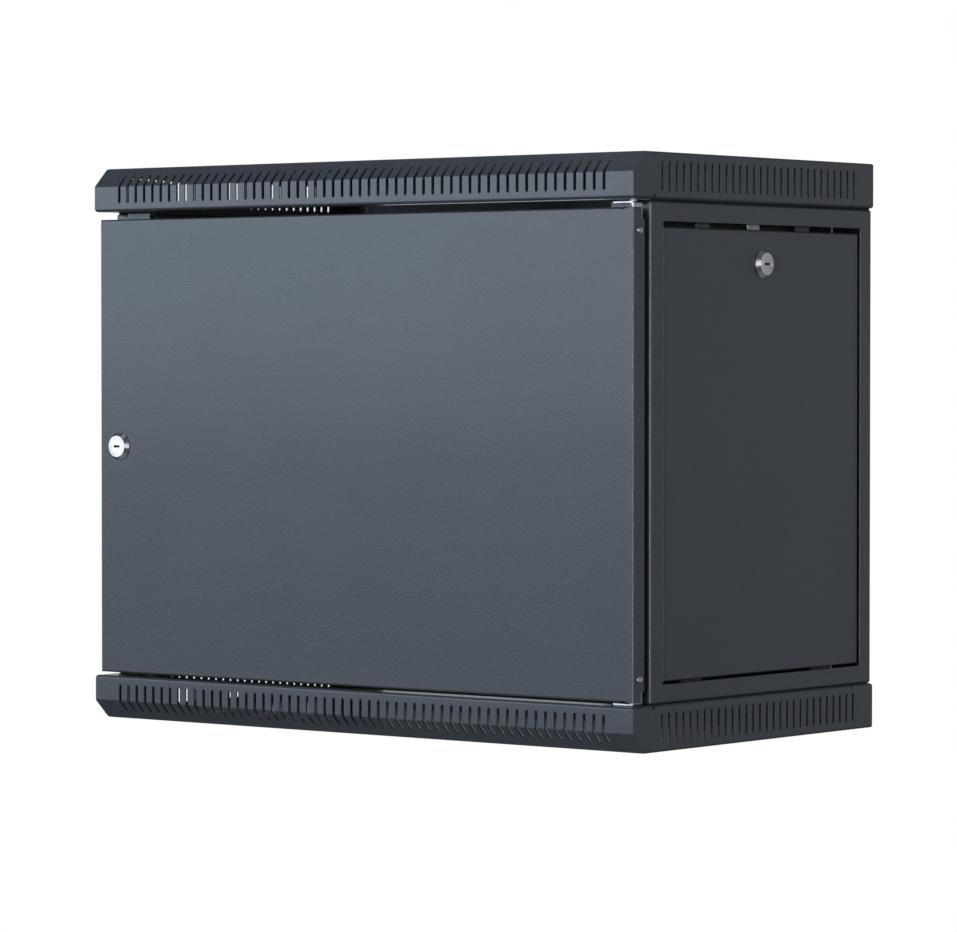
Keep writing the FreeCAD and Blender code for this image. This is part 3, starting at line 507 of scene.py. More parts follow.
def settle(piece: bpy.types.Object, angle: float = 32.0) -> bpy.types.Object:
    """Write a piece's modifiers into its mesh and smooth it.

    Args:
        piece: the object.
        angle: degrees past which an edge stays sharp.

    Returns:
        The piece.
    """
    depsgraph = bpy.context.evaluated_depsgraph_get()
    mesh = bpy.data.meshes.new_from_object(piece.evaluated_get(depsgraph))
    piece.modifiers.clear()
    piece.data = mesh
    mesh.shade_smooth()
    mesh.set_sharp_from_angle(angle=math.radians(angle))
    even = piece.modifiers.new("even normals", "WEIGHTED_NORMAL")
    even.keep_sharp = True
    even.weight = 100
    return piece


def newell(loop: np.ndarray) -> np.ndarray:
    """Area normal of a flat outline: half the sum of the cross products of neighbouring corners."""
    return 0.5 * np.cross(loop, np.roll(loop, -1, axis=0)).sum(axis=0)


@dataclass
class FoldedSheet:
    """Sheet metal given as flat facets that share their fold lines.

    The facets' corners are merged, every shared edge is rounded to the bend's radius (an edge of
    turn t is cut back by radius times the tangent of t/2), the sheet gets its gauge inwards, and its
    cut edges are eased. Outlines face away from the core. Welds are edges that stay square, each
    given by two axes and where it lies on them, within reach. An edge that turns less than the least
    turn, in radians, is no fold.
    """

    name: str
    gauge: float
    radius: float
    core: tuple
    welds: tuple = ()
    facets: list = field(default_factory=list)
    segments: int = 4
    ease: float = 0.4 * MM
    least_turn: float = 0.05
    reach: float = 0.01 * MM
    grid: float = 0.001 * MM

    def add(self, *loops: np.ndarray) -> None:
        """Add flat outlines of three-dimensional corners, turned to face away from the core."""
        for loop in loops:
            loop = np.asarray(loop, float)
            if np.dot(newell(loop), loop.mean(axis=0) - np.asarray(self.core)) < 0:
                loop = loop[::-1]
            self.facets.append(loop)

    def flat(self) -> bpy.types.Object:
        """Merge the facets' corners that round to the same place of the grid.

        Returns:
            Object with the flat facets.
        """
        corners = np.concatenate(self.facets)
        keys = np.round(corners / self.grid).astype(np.int64)
        _, first, inverse = np.unique(keys, axis=0, return_index=True, return_inverse=True)
        ends = np.cumsum([len(loop) for loop in self.facets])[:-1]
        faces = [part.tolist() for part in np.split(inverse.reshape(-1), ends)]
        return new_piece(self.name, corners[first], faces)

    def weigh(self, mesh: bpy.types.Mesh) -> float:
        """Mark each fold with its share of the widest cut.

        Args:
            mesh: the merged facets.

        Returns:
            The widest cut, in metres.
        """
        edges = len(mesh.edges)
        of_loop = numbers(mesh.loops, "edge_index", np.int32)
        normals = numbers(mesh.polygons, "normal", np.float32, 3)
        ends = numbers(mesh.edges, "vertices", np.int32, 2)
        middles = numbers(mesh.vertices, "co", np.float32, 3)[ends].mean(axis=1)
        owner = np.repeat(np.arange(len(mesh.polygons)), numbers(mesh.polygons, "loop_total", np.int32))
        order = np.argsort(of_loop, kind="stable")
        counts = np.bincount(of_loop, minlength=edges)
        starts = np.cumsum(counts) - counts
        paired = counts == 2
        one = owner[order[starts[paired]]]
        two = owner[order[starts[paired] + 1]]
        turn = np.arccos(np.clip((normals[one] * normals[two]).sum(axis=1), -1, 1))
        cut = np.zeros(edges)
        cut[paired] = np.where(turn > self.least_turn, self.radius * np.tan(turn / 2), 0.0)
        for axis_a, at_a, axis_b, at_b in self.welds:
            near = np.abs(middles[:, [axis_a, axis_b]] - (at_a, at_b)) < self.reach
            cut[near.all(axis=1)] = 0.0
        widest = float(cut.max()) or 1.0
        weight = mesh.attributes.new("bevel_weight_edge", "FLOAT", "EDGE")
        weight.data.foreach_set("value", (cut / widest).astype(np.float32))
        return widest

    def build(self) -> bpy.types.Object:
        """Fold and thicken the sheet.

        Returns:
            The piece.
        """
        piece = self.flat()
        widest = self.weigh(piece.data)
        fold = piece.modifiers.new("folds", "BEVEL")
        fold.limit_method = "WEIGHT"
        fold.width = widest
        fold.segments = self.segments
        fold.use_clamp_overlap = False
        thick = piece.modifiers.new("gauge", "SOLIDIFY")
        thick.thickness = self.gauge
        thick.offset = -1.0
        thick.use_even_offset = True
        soften(piece, self.ease)
        return settle(piece)


def soften(piece: bpy.types.Object, width: float, angle: float = 38.0) -> None:
    """Round off a piece's sharp edges, as a coat of paint does.

    Args:
        piece: the object.
        width: how far back from an edge the rounding starts, in metres.
        angle: degrees past which an edge is sharp.
    """
    edge = piece.modifiers.new("eased edges", "BEVEL")
    edge.limit_method = "ANGLE"
    edge.angle_limit = math.radians(angle)
    edge.width = width
    edge.segments = 2
    edge.use_clamp_overlap = False


def slot_ends(centres: np.ndarray, half: float, level: float, up: int, steps: int = 6) -> np.ndarray:
    """Half-round ends of a row of slots, left to right.

    Each end is centre + half * (-cos t, up * sin t) for t from 0 to a half turn, about its level.

    Args:
        centres: the slots' middles along the row.
        half: half the slots' width.
        level: where the straight sides end.
        up: 1 where the end closes the slot upwards, -1 downwards.
        steps: chords in each end.

    Returns:
        Array of points, two columns.
    """
    turn = np.linspace(0.0, math.pi, steps + 1)
    across = centres[:, None] - half * np.cos(turn)[None, :]
    along = np.broadcast_to(level + up * half * np.sin(turn), across.shape)
    return np.stack([across.ravel(), along.ravel()], axis=1)


def bridges(centres: np.ndarray, half: float, low: float, high: float) -> list:
    """Flat strips between neighbouring slots.

    Args:
        centres: the slots' middles along the row.
        half: half the slots' width.
        low, high: where the strips start and end.

    Returns:
        List of outlines in two columns.
    """
    return [box_loop(a + half, b - half, low, high) for a, b in zip(centres[:-1], centres[1:])]


def framed(outer: np.ndarray, inner: np.ndarray) -> list:
    """Two facets that together are a four-cornered outline less a four-cornered window.

    Both outlines start at the lowest corner of both axes and go round the same way.

    Args:
        outer, inner: four corners each, in two columns.

    Returns:
        Two outlines in two columns.
    """
    first = np.concatenate([outer[[0, 1, 2]], inner[[2, 1, 0]]])
    second = np.concatenate([outer[[2, 3, 0]], inner[[0, 3, 2]]])
    return [first, second]


def pierced(bounds: tuple, centre: tuple, length: float, width: float, steps: int = 8) -> list:
    """Two facets that together are a rectangle less a slot that runs along the first axis.

    The slot's rim is a half turn of radius width/2 about each end of its middle line; the facets
    meet on that line. A slot as long as it is wide is a round hole.

    Args:
        bounds: lowest and highest first and second coordinate of the rectangle.
        centre: the slot's middle.
        length: over the slot's ends.
        width: across the slot.
        steps: chords in a quarter turn.

    Returns:
        Two outlines in two columns.
    """
    low_a, high_a, low_b, high_b = bounds
    half, run = width / 2, (length - width) / 2
    turn = np.linspace(0.0, math.pi / 2, steps + 1)
    left = np.stack([centre[0] - run - half * np.cos(turn), half * np.sin(turn)], axis=1)
    right = np.stack([centre[0] + run + half * np.cos(turn), half * np.sin(turn)], axis=1)[::-1]
    rim = np.concatenate([left, right if run > TINY else right[1:]])
    made = []
    for way, far in ((1.0, high_b), (-1.0, low_b)):
        edge = rim * [1.0, way] + [0.0, centre[1]]
        made.append(np.concatenate([[[low_a, centre[1]]], edge, [[high_a, centre[1]], [high_a, far], [low_a, far]]]))
    return made


def box_loop(low_a: float, high_a: float, low_b: float, high_b: float) -> np.ndarray:
    """Four corners of a rectangle in two columns."""
    return np.array([[low_a, low_b], [high_a, low_b], [high_a, high_b], [low_a, high_b]])


def on_plane(loop: np.ndarray, axis: int, at: float) -> np.ndarray:
    """Stand a two-column outline on the plane where one axis is constant."""
    loop = np.asarray(loop, float)
    return np.insert(loop, axis, at, axis=1)


def turned_surface(
    name: str, rows: np.ndarray, centre: np.ndarray, axis: np.ndarray, side: np.ndarray, close: bool = True
) -> bpy.types.Object:
    """Closed surface from rings of points about an axis.

    Point (i, j) is centre + x * side + y * (axis x side) + h * axis, from rows[i, j] = (x, y, h).

    Args:
        name: the piece's name.
        rows: array of rings, each of the same number of points with x, y and height.
        centre: the axis's foot.
        axis: unit direction of the height.
        side: unit direction of x.
        close: whether the first and the last ring are closed by a face.

    Returns:
        The piece.
    """
    rings, around = rows.shape[:2]
    other = np.cross(axis, side)
    spots = centre + rows[..., :1] * side + rows[..., 1:2] * other + rows[..., 2:] * axis
    index = np.arange(rings * around).reshape(rings, around)
    after = np.roll(index, -1, axis=1)
    faces = np.stack([index[:-1], after[:-1], after[1:], index[1:]], axis=-1).reshape(-1, 4).tolist()
    if close:
        faces += [index[0][::-1].tolist(), index[-1].tolist()]
    return settle(new_piece(name, spots.reshape(-1, 3), faces))


def turns(around: int) -> np.ndarray:
    """Even turns round a circle, in radians."""
    return np.arange(around) * 2 * math.pi / around


def ring(radius: object, around: int) -> np.ndarray:
    """Points round the origin on rays at even turns: the radius times the turn's cosine and sine.

    Args:
        radius: one number, which makes a circle, or one for each ray.
        around: number of rays.

    Returns:
        Array of points in two columns.
    """
    turn = turns(around)
    return np.reshape(radius, (-1, 1)) * np.stack([np.cos(turn), np.sin(turn)], axis=1)


def polygon_ring(across: float, sides: int, around: int) -> np.ndarray:
    """Points round a regular polygon: the flat's distance over the cosine of the turn from its middle.

    Args:
        across: over two opposite flats.
        sides: the polygon's sides.
        around: number of points.

    Returns:
        Array of points in two columns.
    """
    part = 2 * math.pi / sides
    return ring(across / 2 / np.cos(np.mod(turns(around), part) - part / 2), around)


def stadium_ring(length: float, width: float, around: int) -> np.ndarray:
    """Points round a slot with half-round ends, where rays at even turns meet it.

    A ray meets the flat side at half the width over its sine, and a round end where its distance
    from that end's centre is half the width.

    Args:
        length: over the slot's ends.
        width: across the slot.
        around: number of points.

    Returns:
        Array of points in two columns.
    """
    cosine, sine = np.cos(turns(around)), np.sin(turns(around))
    half, run = width / 2, (length - width) / 2
    flat = half / np.maximum(np.abs(sine), TINY)
    reach = run * np.abs(cosine) + np.sqrt(np.maximum(half**2 - (run * sine) ** 2, 0.0))
    return ring(np.where(flat * np.abs(cosine) <= run, flat, reach), around)


def cross_ring(length: float, width: float, around: int) -> np.ndarray:
    """Points round a cross: the farther of two crossed bars along each ray.

    Args:
        length: over two opposite arms.
        width: across an arm.
        around: number of points.

    Returns:
        Array of points in two columns.
    """
    cosine = np.maximum(np.abs(np.cos(turns(around))), TINY)
    sine = np.maximum(np.abs(np.sin(turns(around))), TINY)
    arm, half = length / 2, width / 2
    return ring(np.maximum(np.minimum(arm / cosine, half / sine), np.minimum(half / cosine, arm / sine)), around)


def lift(points: np.ndarray, height: float) -> np.ndarray:
    """Stand a two-column ring at a height."""
    return np.column_stack([points, np.full(len(points), height)])


def lathe(profile: list, around: int) -> list:
    """Circles at heights.

    Args:
        profile: radius and height of each circle.
        around: number of points in each.

    Returns:
        List of rings in three columns.
    """
    return [lift(ring(radius, around), height) for radius, height in profile]


# ---------------------------------------------------------------- covers


@dataclass
class Cover:
    """Folded cover with slots in its rim and over its front chamfer.

    The entry is half the width of the cable cut-out, then its front and its rear edge.
    """

    level: Level
    palette: Palette
    gauge: float = 1.5 * MM
    bend: float = 2.5 * MM
    ease: float = 0.2 * MM
    chamfer: float = 16.4 * MM
    front_lip: float = 20.0 * MM
    side_lip: float = 15.0 * MM
    relief_front: float = 28.6 * MM
    relief_rear: float = 31.5 * MM
    relief_width: float = 2.4 * MM
    relief_height: float = 4.0 * MM
    slot_width: float = 3.0 * MM
    slot_pitch: float = 10.0 * MM
    slot_margin: float = 7.3 * MM
    front_slots: int = 55
    side_slots: int = 29
    side_start: float = 40.0 * MM
    entry: tuple = (150.0 * MM, -90.0 * MM, -30.0 * MM)

    def facets(self) -> list:
        """Flat facets of the upper cover, with z measured up from the rim's lower edge.

        Returns:
            List of three-column outlines.
        """
        low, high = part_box("top_cover")
        half, front, tall = high.x, low.y, high.z - low.z
        crease = tall - self.chamfer
        across = (np.arange(self.front_slots) - (self.front_slots - 1) / 2) * self.slot_pitch
        r = self.slot_width / 2
        start = self.slot_margin + r
        made = []

        # Front wall: two legs at its ends, the slots' lower ends between, and strips between the slots.
        lower = slot_ends(across, r, start, -1)
        wall = np.concatenate([
            [[-half, 0.0], [half, 0.0], [half, crease], [across[-1] + r, crease]],
            lower[::-1],
            [[across[0] - r, crease], [-half, crease]],
        ])
        made += [on_plane(loop, 1, front) for loop in [wall, *bridges(across, r, start, crease)]]

        # Chamfer, laid out along its own slope and then leant back by an eighth of a turn.
        rise = (self.chamfer - self.slot_margin) * math.sqrt(2) - r
        slope = self.chamfer * math.sqrt(2)
        upper = slot_ends(across, r, rise, 1)
        ramp = np.concatenate([
            [[-half, 0.0], [across[0] - r, 0.0]],
            upper,
            [[across[-1] + r, 0.0], [half, 0.0], [half, slope], [-half, slope]],
        ])
        for loop in [ramp, *bridges(across, r, 0.0, rise)]:
            step = loop[:, 1] / math.sqrt(2)
            made.append(np.column_stack([loop[:, 0], front + step, crease + step]))

        # Side walls.
        middle = front + self.side_start + np.arange(self.side_slots) * self.slot_pitch
        lower = slot_ends(middle, r, start, -1)
        end = tall - self.slot_margin - r
        upper = slot_ends(middle, r, end, 1)
        gaps = [front + self.relief_front, -self.relief_rear]
        notch = self.relief_width / 2
        foot = [[front, 0.0]]
        for gap in gaps:
            foot += [
                [gap - notch, 0.0], [gap - notch, self.relief_height],
                [gap + notch, self.relief_height], [gap + notch, 0.0],
            ]
        bottom = np.concatenate([
            foot,
            [[0.0, 0.0], [0.0, tall], [middle[-1] + r, end]],
            lower[::-1],
            [[middle[0] - r, end], [front, crease]],
        ])
        top = np.concatenate([upper, [[0.0, tall], [front + self.chamfer, tall], [front, crease]]])
        walls = [bottom, top, *bridges(middle, r, start, end)]
        made += [on_plane(loop, 0, x) for x in (half, -half) for loop in walls]

        # Roof with the cable entry's cut-out.
        wide, near, far = self.entry
        roof = framed(box_loop(-half, half, front + self.chamfer, 0.0), box_loop(-wide, wide, near, far))
        made += [on_plane(loop, 2, tall) for loop in roof]

        # Rear wall, without a lip.
        lip = half - self.side_lip
        rear = np.array([[-half, 0.0], [-lip, 0.0], [lip, 0.0], [half, 0.0], [half, tall], [-half, tall]])
        made.append(on_plane(rear, 1, 0.0))

        # Lips: one round the front corners, and two on each side between and behind the reliefs.
        first, second, third, fourth = (gap + way * notch for gap in gaps for way in (-1, 1))
        inner = front + self.front_lip
        lips = [[
            [-half, front], [half, front], [half, first], [lip, first],
            [lip, inner], [-lip, inner], [-lip, first], [-half, first],
        ]]
        for near_x, far_x in ((lip, half), (-half, -lip)):
            lips += [box_loop(near_x, far_x, second, third), box_loop(near_x, far_x, fourth, 0.0)]
        made += [on_plane(loop, 2, 0.0) for loop in lips]
        return made

    def build(self) -> None:
        """Fold the cover; the lower one is the upper one turned over."""
        node = "top_cover" if self.level is Level.UPPER else "bottom_cover"
        low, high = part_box(node)
        sign = self.level.value
        edge = low.z if sign > 0 else high.z
        tall = high.z - low.z
        half, front = high.x, low.y
        sheet = FoldedSheet(
            "slotted_" + node, self.gauge, self.bend, (0.0, front / 2, edge + sign * tall / 2),
            welds=tuple((0, x, 1, y) for x in (half, -half) for y in (front, front + self.chamfer / 2, 0.0)),
            ease=self.ease,
        )
        sheet.add(*[facet * (1, 1, sign) + (0, 0, edge) for facet in self.facets()])
        piece = sheet.build()
        self.palette.dress(piece, "cabinet_coat", "cabinet")
        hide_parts(node)


# ---------------------------------------------------------------- side frames and panels


@dataclass
class SideFrame:
    """Folded frame with a window, flanges on four sides and two wall holes.

    The notch is the catch's lower and upper edge, the window its front, rear, lower and upper edge,
    and a wall hole is how far out and how high or low it lies, and its radius.
    """

    hand: Hand
    palette: Palette
    gauge: float = 1.5 * MM
    bend: float = 2.5 * MM
    post: float = 41.0 * MM
    catch: float = 13.0 * MM
    notch: tuple = (-30.05 * MM, 25.95 * MM)
    end_flange: float = 14.0 * MM
    window: tuple = (-306.8 * MM, -17.7 * MM, -190.9 * MM, 189.3 * MM)
    hole: tuple = (278.0 * MM, 180.0 * MM, 4.5 * MM)
    steps: int = 12
    nick: float = 0.5 * MM
    core_depth: float = 20.0 * MM

    def build(self) -> None:
        """Fold the frame."""
        node = self.hand.name.lower() + "_side_frame"
        low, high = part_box(node)
        sign = self.hand.value
        face = max(abs(low.x), abs(high.x))
        front, bottom, top = low.y, low.z, high.z
        sheet = FoldedSheet(
            "folded_" + node, self.gauge, self.bend, (sign * (face - self.core_depth), front / 2, 0.0)
        )
        sides = framed(box_loop(front, 0.0, bottom, top), box_loop(*self.window))
        made = [on_plane(loop, 0, face) for loop in sides]
        x_post, x_end, x_catch = face - self.post, face - self.end_flange, face - self.catch
        x_nick = x_end - self.nick
        low_notch, high_notch = self.notch
        post = [
            [x_post, bottom], [x_nick, bottom], [x_end, bottom], [face, bottom],
            [face, top], [x_end, top], [x_nick, top], [x_post, top],
            [x_post, high_notch], [x_catch, high_notch], [x_catch, low_notch], [x_post, low_notch],
        ]
        made.append(on_plane(post, 1, front))
        hole_x, hole_z, radius = self.hole
        turn = np.linspace(-math.pi / 2, math.pi / 2, self.steps + 1)
        arc = radius * np.stack([np.cos(turn), np.sin(turn)], axis=1)
        outer = np.concatenate([
            [[hole_x, bottom], [x_nick, bottom], [x_end, bottom], [face, bottom]],
            [[face, top], [x_end, top], [x_nick, top], [hole_x, top]],
            arc[::-1] + [hole_x, hole_z],
            arc[::-1] + [hole_x, -hole_z],
        ])
        inner = np.concatenate([
            [[hole_x, top], [x_post, top], [x_post, bottom], [hole_x, bottom]],
            [hole_x, -hole_z] - arc[::-1],
            [hole_x, hole_z] - arc[::-1],
        ])
        made += [on_plane(outer, 1, 0.0), on_plane(inner, 1, 0.0)]
        made += [on_plane(box_loop(x_end, face, front, 0.0), 2, z) for z in (top, bottom)]
        sheet.add(*[facet * (sign, 1, 1) for facet in made])
        piece = sheet.build()
        self.palette.dress(piece, "cabinet_coat", "cabinet")
        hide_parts(node)


@dataclass
class SidePanel:
    """Lift-out pan with folds on four sides and two hooks below."""

    hand: Hand
    palette: Palette
    gauge: float = 1.2 * MM
    bend: float = 1.8 * MM
    fold: float = 10.0 * MM
    hook_offset: float = 95.0 * MM
    hook_width: float = 30.0 * MM
    hook_x: float = 289.6 * MM
    near_gap: float = 1.6 * MM
    bottom: float = -189.0 * MM
    core_depth: float = 5.0 * MM

    def build(self) -> None:
        """Fold the panel and put its hooks on."""
        hand = self.hand.name.lower()
        node = hand + "_side_panel"
        low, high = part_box(node)
        sign = self.hand.value
        face = max(abs(low.x), abs(high.x))
        front, rear, top, bottom = low.y + self.near_gap, high.y, high.z, self.bottom
        back = face - self.fold
        middle, half = (front + rear) / 2, self.hook_width / 2
        sheet = FoldedSheet(
            "folded_" + node, self.gauge, self.bend, (sign * (face - self.core_depth), middle, 0.0),
            welds=tuple((1, y, 2, z) for y in (front, rear) for z in (bottom, top)),
        )
        made = [on_plane(box_loop(front, rear, bottom, top), 0, face)]
        made += [on_plane(box_loop(back, face, bottom, top), 1, y) for y in (front, rear)]
        made += [on_plane(box_loop(back, face, front, rear), 2, z) for z in (bottom, top)]
        for y in (middle - self.hook_offset, middle + self.hook_offset):
            made.append(on_plane(box_loop(y - half, y + half, low.z, bottom + self.gauge), 0, self.hook_x))
        sheet.add(*[facet * (sign, 1, 1) for facet in made])
        piece = sheet.build()
        self.palette.dress(piece, "cabinet_coat", hand + "_panel")
        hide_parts(node)


# ---------------------------------------------------------------- door


@dataclass
class Door:
    """Door pan with a fold on each side, open at the hinge corners."""

    palette: Palette
    gauge: float = 1.2 * MM
    bend: float = 1.8 * MM
    relief: float = 13.5 * MM
    notch: float = 4.0 * MM
    notch_height: float = 9.0 * MM
    core_depth: float = 7.0 * MM

    def build(self) -> None:
        """Fold the door."""
        low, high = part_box("door_shell")
        half, front, back, bottom, top = high.x, low.y, high.y, low.z, high.z
        sheet = FoldedSheet(
            "folded_door_shell", self.gauge, self.bend, (0.0, front + self.core_depth, 0.0),
            welds=((0, -half, 2, top), (0, -half, 2, bottom)),
        )
        cut = half - self.relief
        face = [[-half, bottom], [cut, bottom], [half, bottom], [half, top], [cut, top], [-half, top]]
        sheet.add(on_plane(face, 1, front))
        sheet.add(*[on_plane(box_loop(-half, cut, front, back), 2, z) for z in (bottom, top)])
        sheet.add(on_plane(box_loop(front, back, bottom, top), 0, -half))
        step = back - self.notch
        edge = [
            [front, bottom], [step, bottom], [step, bottom + self.notch_height], [back, bottom + self.notch_height],
            [back, top - self.notch_height], [step, top - self.notch_height], [step, top], [front, top],
        ]
        sheet.add(on_plane(edge, 0, half))
        piece = sheet.build()
        self.palette.dress(piece, "cabinet_coat", "door")
        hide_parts("door_shell")


# ---------------------------------------------------------------- locks


@dataclass
class Lock:
    """Quarter-turn cam lock: turned rosette with its barrel, and the plug with its key slot.

    The face's bevel is how far it cuts inwards and down. A black plug set in the key slot is painted
    shade that darkens the keyway; each of its rings is a share of the slot's outline and how deep it lies.
    """

    name: str
    fixed: str
    turning: str
    centre: tuple
    axis: tuple
    side: tuple
    palette: Palette
    rosette: float = 12.25 * MM
    face: float = 9.5 * MM
    height: float = 4.0 * MM
    rim: float = 0.8 * MM
    barrel: float = 9.4 * MM
    plug: float = 7.0 * MM
    clearance: float = 0.06 * MM
    recess: float = 0.3 * MM
    drop: float = 0.03 * MM
    round_off: float = 0.08 * MM
    foot_bevel: float = 0.2 * MM
    face_bevel: tuple = (0.1 * MM, 0.15 * MM)
    plug_bevel: float = 0.06 * MM
    slot_lead: float = 0.15 * MM
    tail_width: float = 7.0 * MM
    tail_length: float = 2.5 * MM
    slot_length: float = 7.5 * MM
    slot_width: float = 2.0 * MM
    slot_depth: float = 3.6 * MM
    keyway_shade: tuple = ((0.90, 0.5 * MM), (0.955, 0.6 * MM), (0.955, 3.5 * MM))
    around: int = 96

    def depth(self, part: str, above: float) -> float:
        """How far a part of the lock reaches behind the panel's face.

        Args:
            part: housing or plug.
            above: how far it stands in front of the face.

        Returns:
            Depth in metres.
        """
        low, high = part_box(f"{self.name}_{part}")
        return max(high[i] - low[i] for i in range(3) if abs(self.axis[i]) > 0.5) - above

    def build(self) -> None:
        """Turn the rosette and cut the plug."""
        centre, axis, side = (np.array(v, float) for v in (self.centre, self.axis, self.side))
        top, bore = self.height, self.plug + self.clearance
        depth = self.depth("housing", top)
        profile = [
            (bore, -depth), (self.barrel, -depth), (self.barrel, 0.0), (self.rosette - self.foot_bevel, 0.0),
            (self.rosette, self.foot_bevel), (self.rosette, self.rim),
            (self.face + self.round_off, top - self.face_bevel[1]), (self.face - self.face_bevel[0], top),
            (bore + self.round_off, top), (bore, top - self.round_off), (bore, -depth),
        ]
        rows = np.stack(lathe(profile, self.around))
        housing = turned_surface("turned_" + self.name + "_housing", rows, centre, axis, side, close=False)
        self.palette.dress(housing, "lock_chrome", self.fixed)
        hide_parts(self.name + "_housing")

        # Plug, from its face back to the square tail; its key slot is the innermost rings.
        depth = self.depth("plug", top - self.recess)
        slot = stadium_ring(self.slot_length, self.slot_width, self.around)
        face, shoulder = top - self.drop, self.tail_length - depth
        edge = ring(self.plug - self.plug_bevel, self.around)
        tail = polygon_ring(self.tail_width, 4, self.around)
        rows = np.stack([
            lift(slot * 0.96, face - self.slot_depth),
            lift(slot, face - self.slot_lead),
            lift(slot * 1.06, face),
            lift(slot * 0.5 + edge * 0.5, face),
            lift(edge, face),
            *lathe([(self.plug, face - self.plug_bevel), (self.plug, shoulder)], self.around),
            lift(tail, shoulder),
            lift(tail, -depth),
        ])
        plug = turned_surface("cut_" + self.name + "_plug", rows[::-1], centre, axis, side)
        self.palette.dress(plug, "lock_plug", self.turning)
        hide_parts(self.name + "_plug")

        # Black plug a little inside the key slot: painted shade that darkens the keyway.
        rows = np.stack([lift(slot * scale, face - down) for scale, down in self.keyway_shade])
        keyway_shade = turned_surface(self.name + "_painted_keyway_shade", rows[::-1], centre, axis, side)
        self.palette.dress(keyway_shade, "buffer_rubber", self.turning)


# ---------------------------------------------------------------- fasteners


@dataclass
class PanScrews:
    """Pan-head screws with a cross recess, all in one piece for one node.

    Each ring of the dome and the recess is a share of the head's radius or the cross, then of the rise.
    """

    node: str
    body: str
    spots: tuple
    axis: tuple
    side: tuple
    palette: Palette
    head: float = 3.2 * MM
    rise: float = 1.6 * MM
    shank: float = 1.9 * MM
    length: float = 3.0 * MM
    cross: tuple = (3.4 * MM, 0.9 * MM)
    dome: tuple = ((1.0, 0.0), (1.0, 0.35), (0.93, 0.72), (0.76, 0.93), (0.58, 1.0))
    recess: tuple = ((1.0, 0.98), (0.55, 0.15))
    around: int = 32

    def build(self) -> None:
        """Make the heads and join them."""
        axis, side = np.array(self.axis, float), np.array(self.side, float)
        cross = cross_ring(*self.cross, self.around)
        profile = [(self.shank, -self.length), (self.shank, 0.0)]
        profile += [(self.head * share, self.rise * up) for share, up in self.dome]
        recess = [lift(cross * share, self.rise * up) for share, up in self.recess]
        rows = np.stack(lathe(profile, self.around) + recess)
        parts = [
            turned_surface(f"{self.node}_{i}", rows, np.array(spot, float), axis, side)
            for i, spot in enumerate(self.spots)
        ]
        piece = join_parts("turned_" + self.node, parts)
        self.palette.dress(piece, "zinc_plate", self.body)
        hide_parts(self.node)


def join_parts(name: str, parts: list) -> bpy.types.Object:
    """Join pieces into one.

    Args:
        name: the new piece's name.
        parts: the objects, which are taken away.

    Returns:
        The piece.
    """
    spots, faces, base = [], [], 0
    for part in parts:
        mesh = part.data
        spots.append(numbers(mesh.vertices, "co", np.float32, 3))
        faces += [[base + v for v in face.vertices] for face in mesh.polygons]
        base += len(mesh.vertices)
        bpy.data.objects.remove(part)
    return settle(new_piece(name, np.concatenate(spots), faces))


# ---------------------------------------------------------------- hinge leaves, carriers and painted gap shade


@dataclass
class HingeLeaf:
    """Zinc angle in the door's hinge corner, with the eye that turns round the pin."""

    level: Level
    palette: Palette
    gauge: float = 1.8 * MM
    bend: float = 2.3 * MM
    eye_width: float = 21.0 * MM
    bore: float = 6.2 * MM
    margin: float = 0.2 * MM
    corner: float = 2.0 * MM

    def build(self) -> None:
        """Fold the leaf."""
        name = self.level.name.lower()
        low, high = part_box(name + "_hinge_leaf")
        pin_low, pin_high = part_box(name + "_hinge_pin")
        pin = (pin_low + pin_high) / 2
        pivot = (min(pin.x, high.x - self.bend - self.bore / 2 - self.margin), pin.y)
        sign = self.level.value
        eye, tip = (high.z, low.z) if sign > 0 else (low.z, high.z)
        inner = high.x - self.eye_width
        sheet = FoldedSheet(
            "folded_" + name + "_hinge_leaf", self.gauge, self.bend, (inner, (low.y + high.y) / 2, (eye + tip) / 2)
        )
        plate = pierced((inner, high.x, low.y, high.y), pivot, self.bore, self.bore)
        sheet.add(*[on_plane(loop, 2, eye) for loop in plate])
        cut, shoulder = self.corner, tip + sign * self.corner
        leg = [
            [low.y, eye], [pivot[1], eye], [high.y, eye], [high.y, shoulder],
            [high.y - cut, tip], [low.y + cut, tip], [low.y, shoulder],
        ]
        sheet.add(on_plane(leg, 0, high.x))
        piece = sheet.build()
        self.palette.dress(piece, "zinc_plate", "door")
        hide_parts(name + "_hinge_leaf")


@dataclass
class Carrier:
    """Angle between the frame's flange and the rail, with a slot for the rail's bolt.

    The slot runs from its front to its rear end.
    """

    level: Level
    hand: Hand
    palette: Palette
    gauge: float = 2.0 * MM
    bend: float = 2.6 * MM
    slot: tuple = (-286.0 * MM, -252.0 * MM)
    slot_width: float = 6.6 * MM
    rear_gap: float = 0.3 * MM

    def build(self) -> None:
        """Fold the angle."""
        node = self.level.name.lower() + "_" + self.hand.name.lower() + "_carrier"
        low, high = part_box(node)
        sign, up = self.hand.value, self.level.value
        web, outer = min(abs(low.x), abs(high.x)), max(abs(low.x), abs(high.x))
        rear = -self.rear_gap
        seat, tip = (high.z, low.z) if up > 0 else (low.z, high.z)
        middle = ((self.slot[0] + self.slot[1]) / 2, (seat + tip) / 2)
        sheet = FoldedSheet(
            "folded_" + node, self.gauge, self.bend, (sign * outer, (low.y + high.y) / 2, tip)
        )
        made = [on_plane(box_loop(web, outer, low.y, rear), 2, seat)]
        bounds = (low.y, rear, min(seat, tip), max(seat, tip))
        made += [
            on_plane(loop, 0, web) for loop in pierced(bounds, middle, self.slot[1] - self.slot[0], self.slot_width)
        ]
        sheet.add(*[facet * (sign, 1, 1) for facet in made])
        piece = sheet.build()
        self.palette.dress(piece, "rail_coat", "cabinet")
        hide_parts(node)


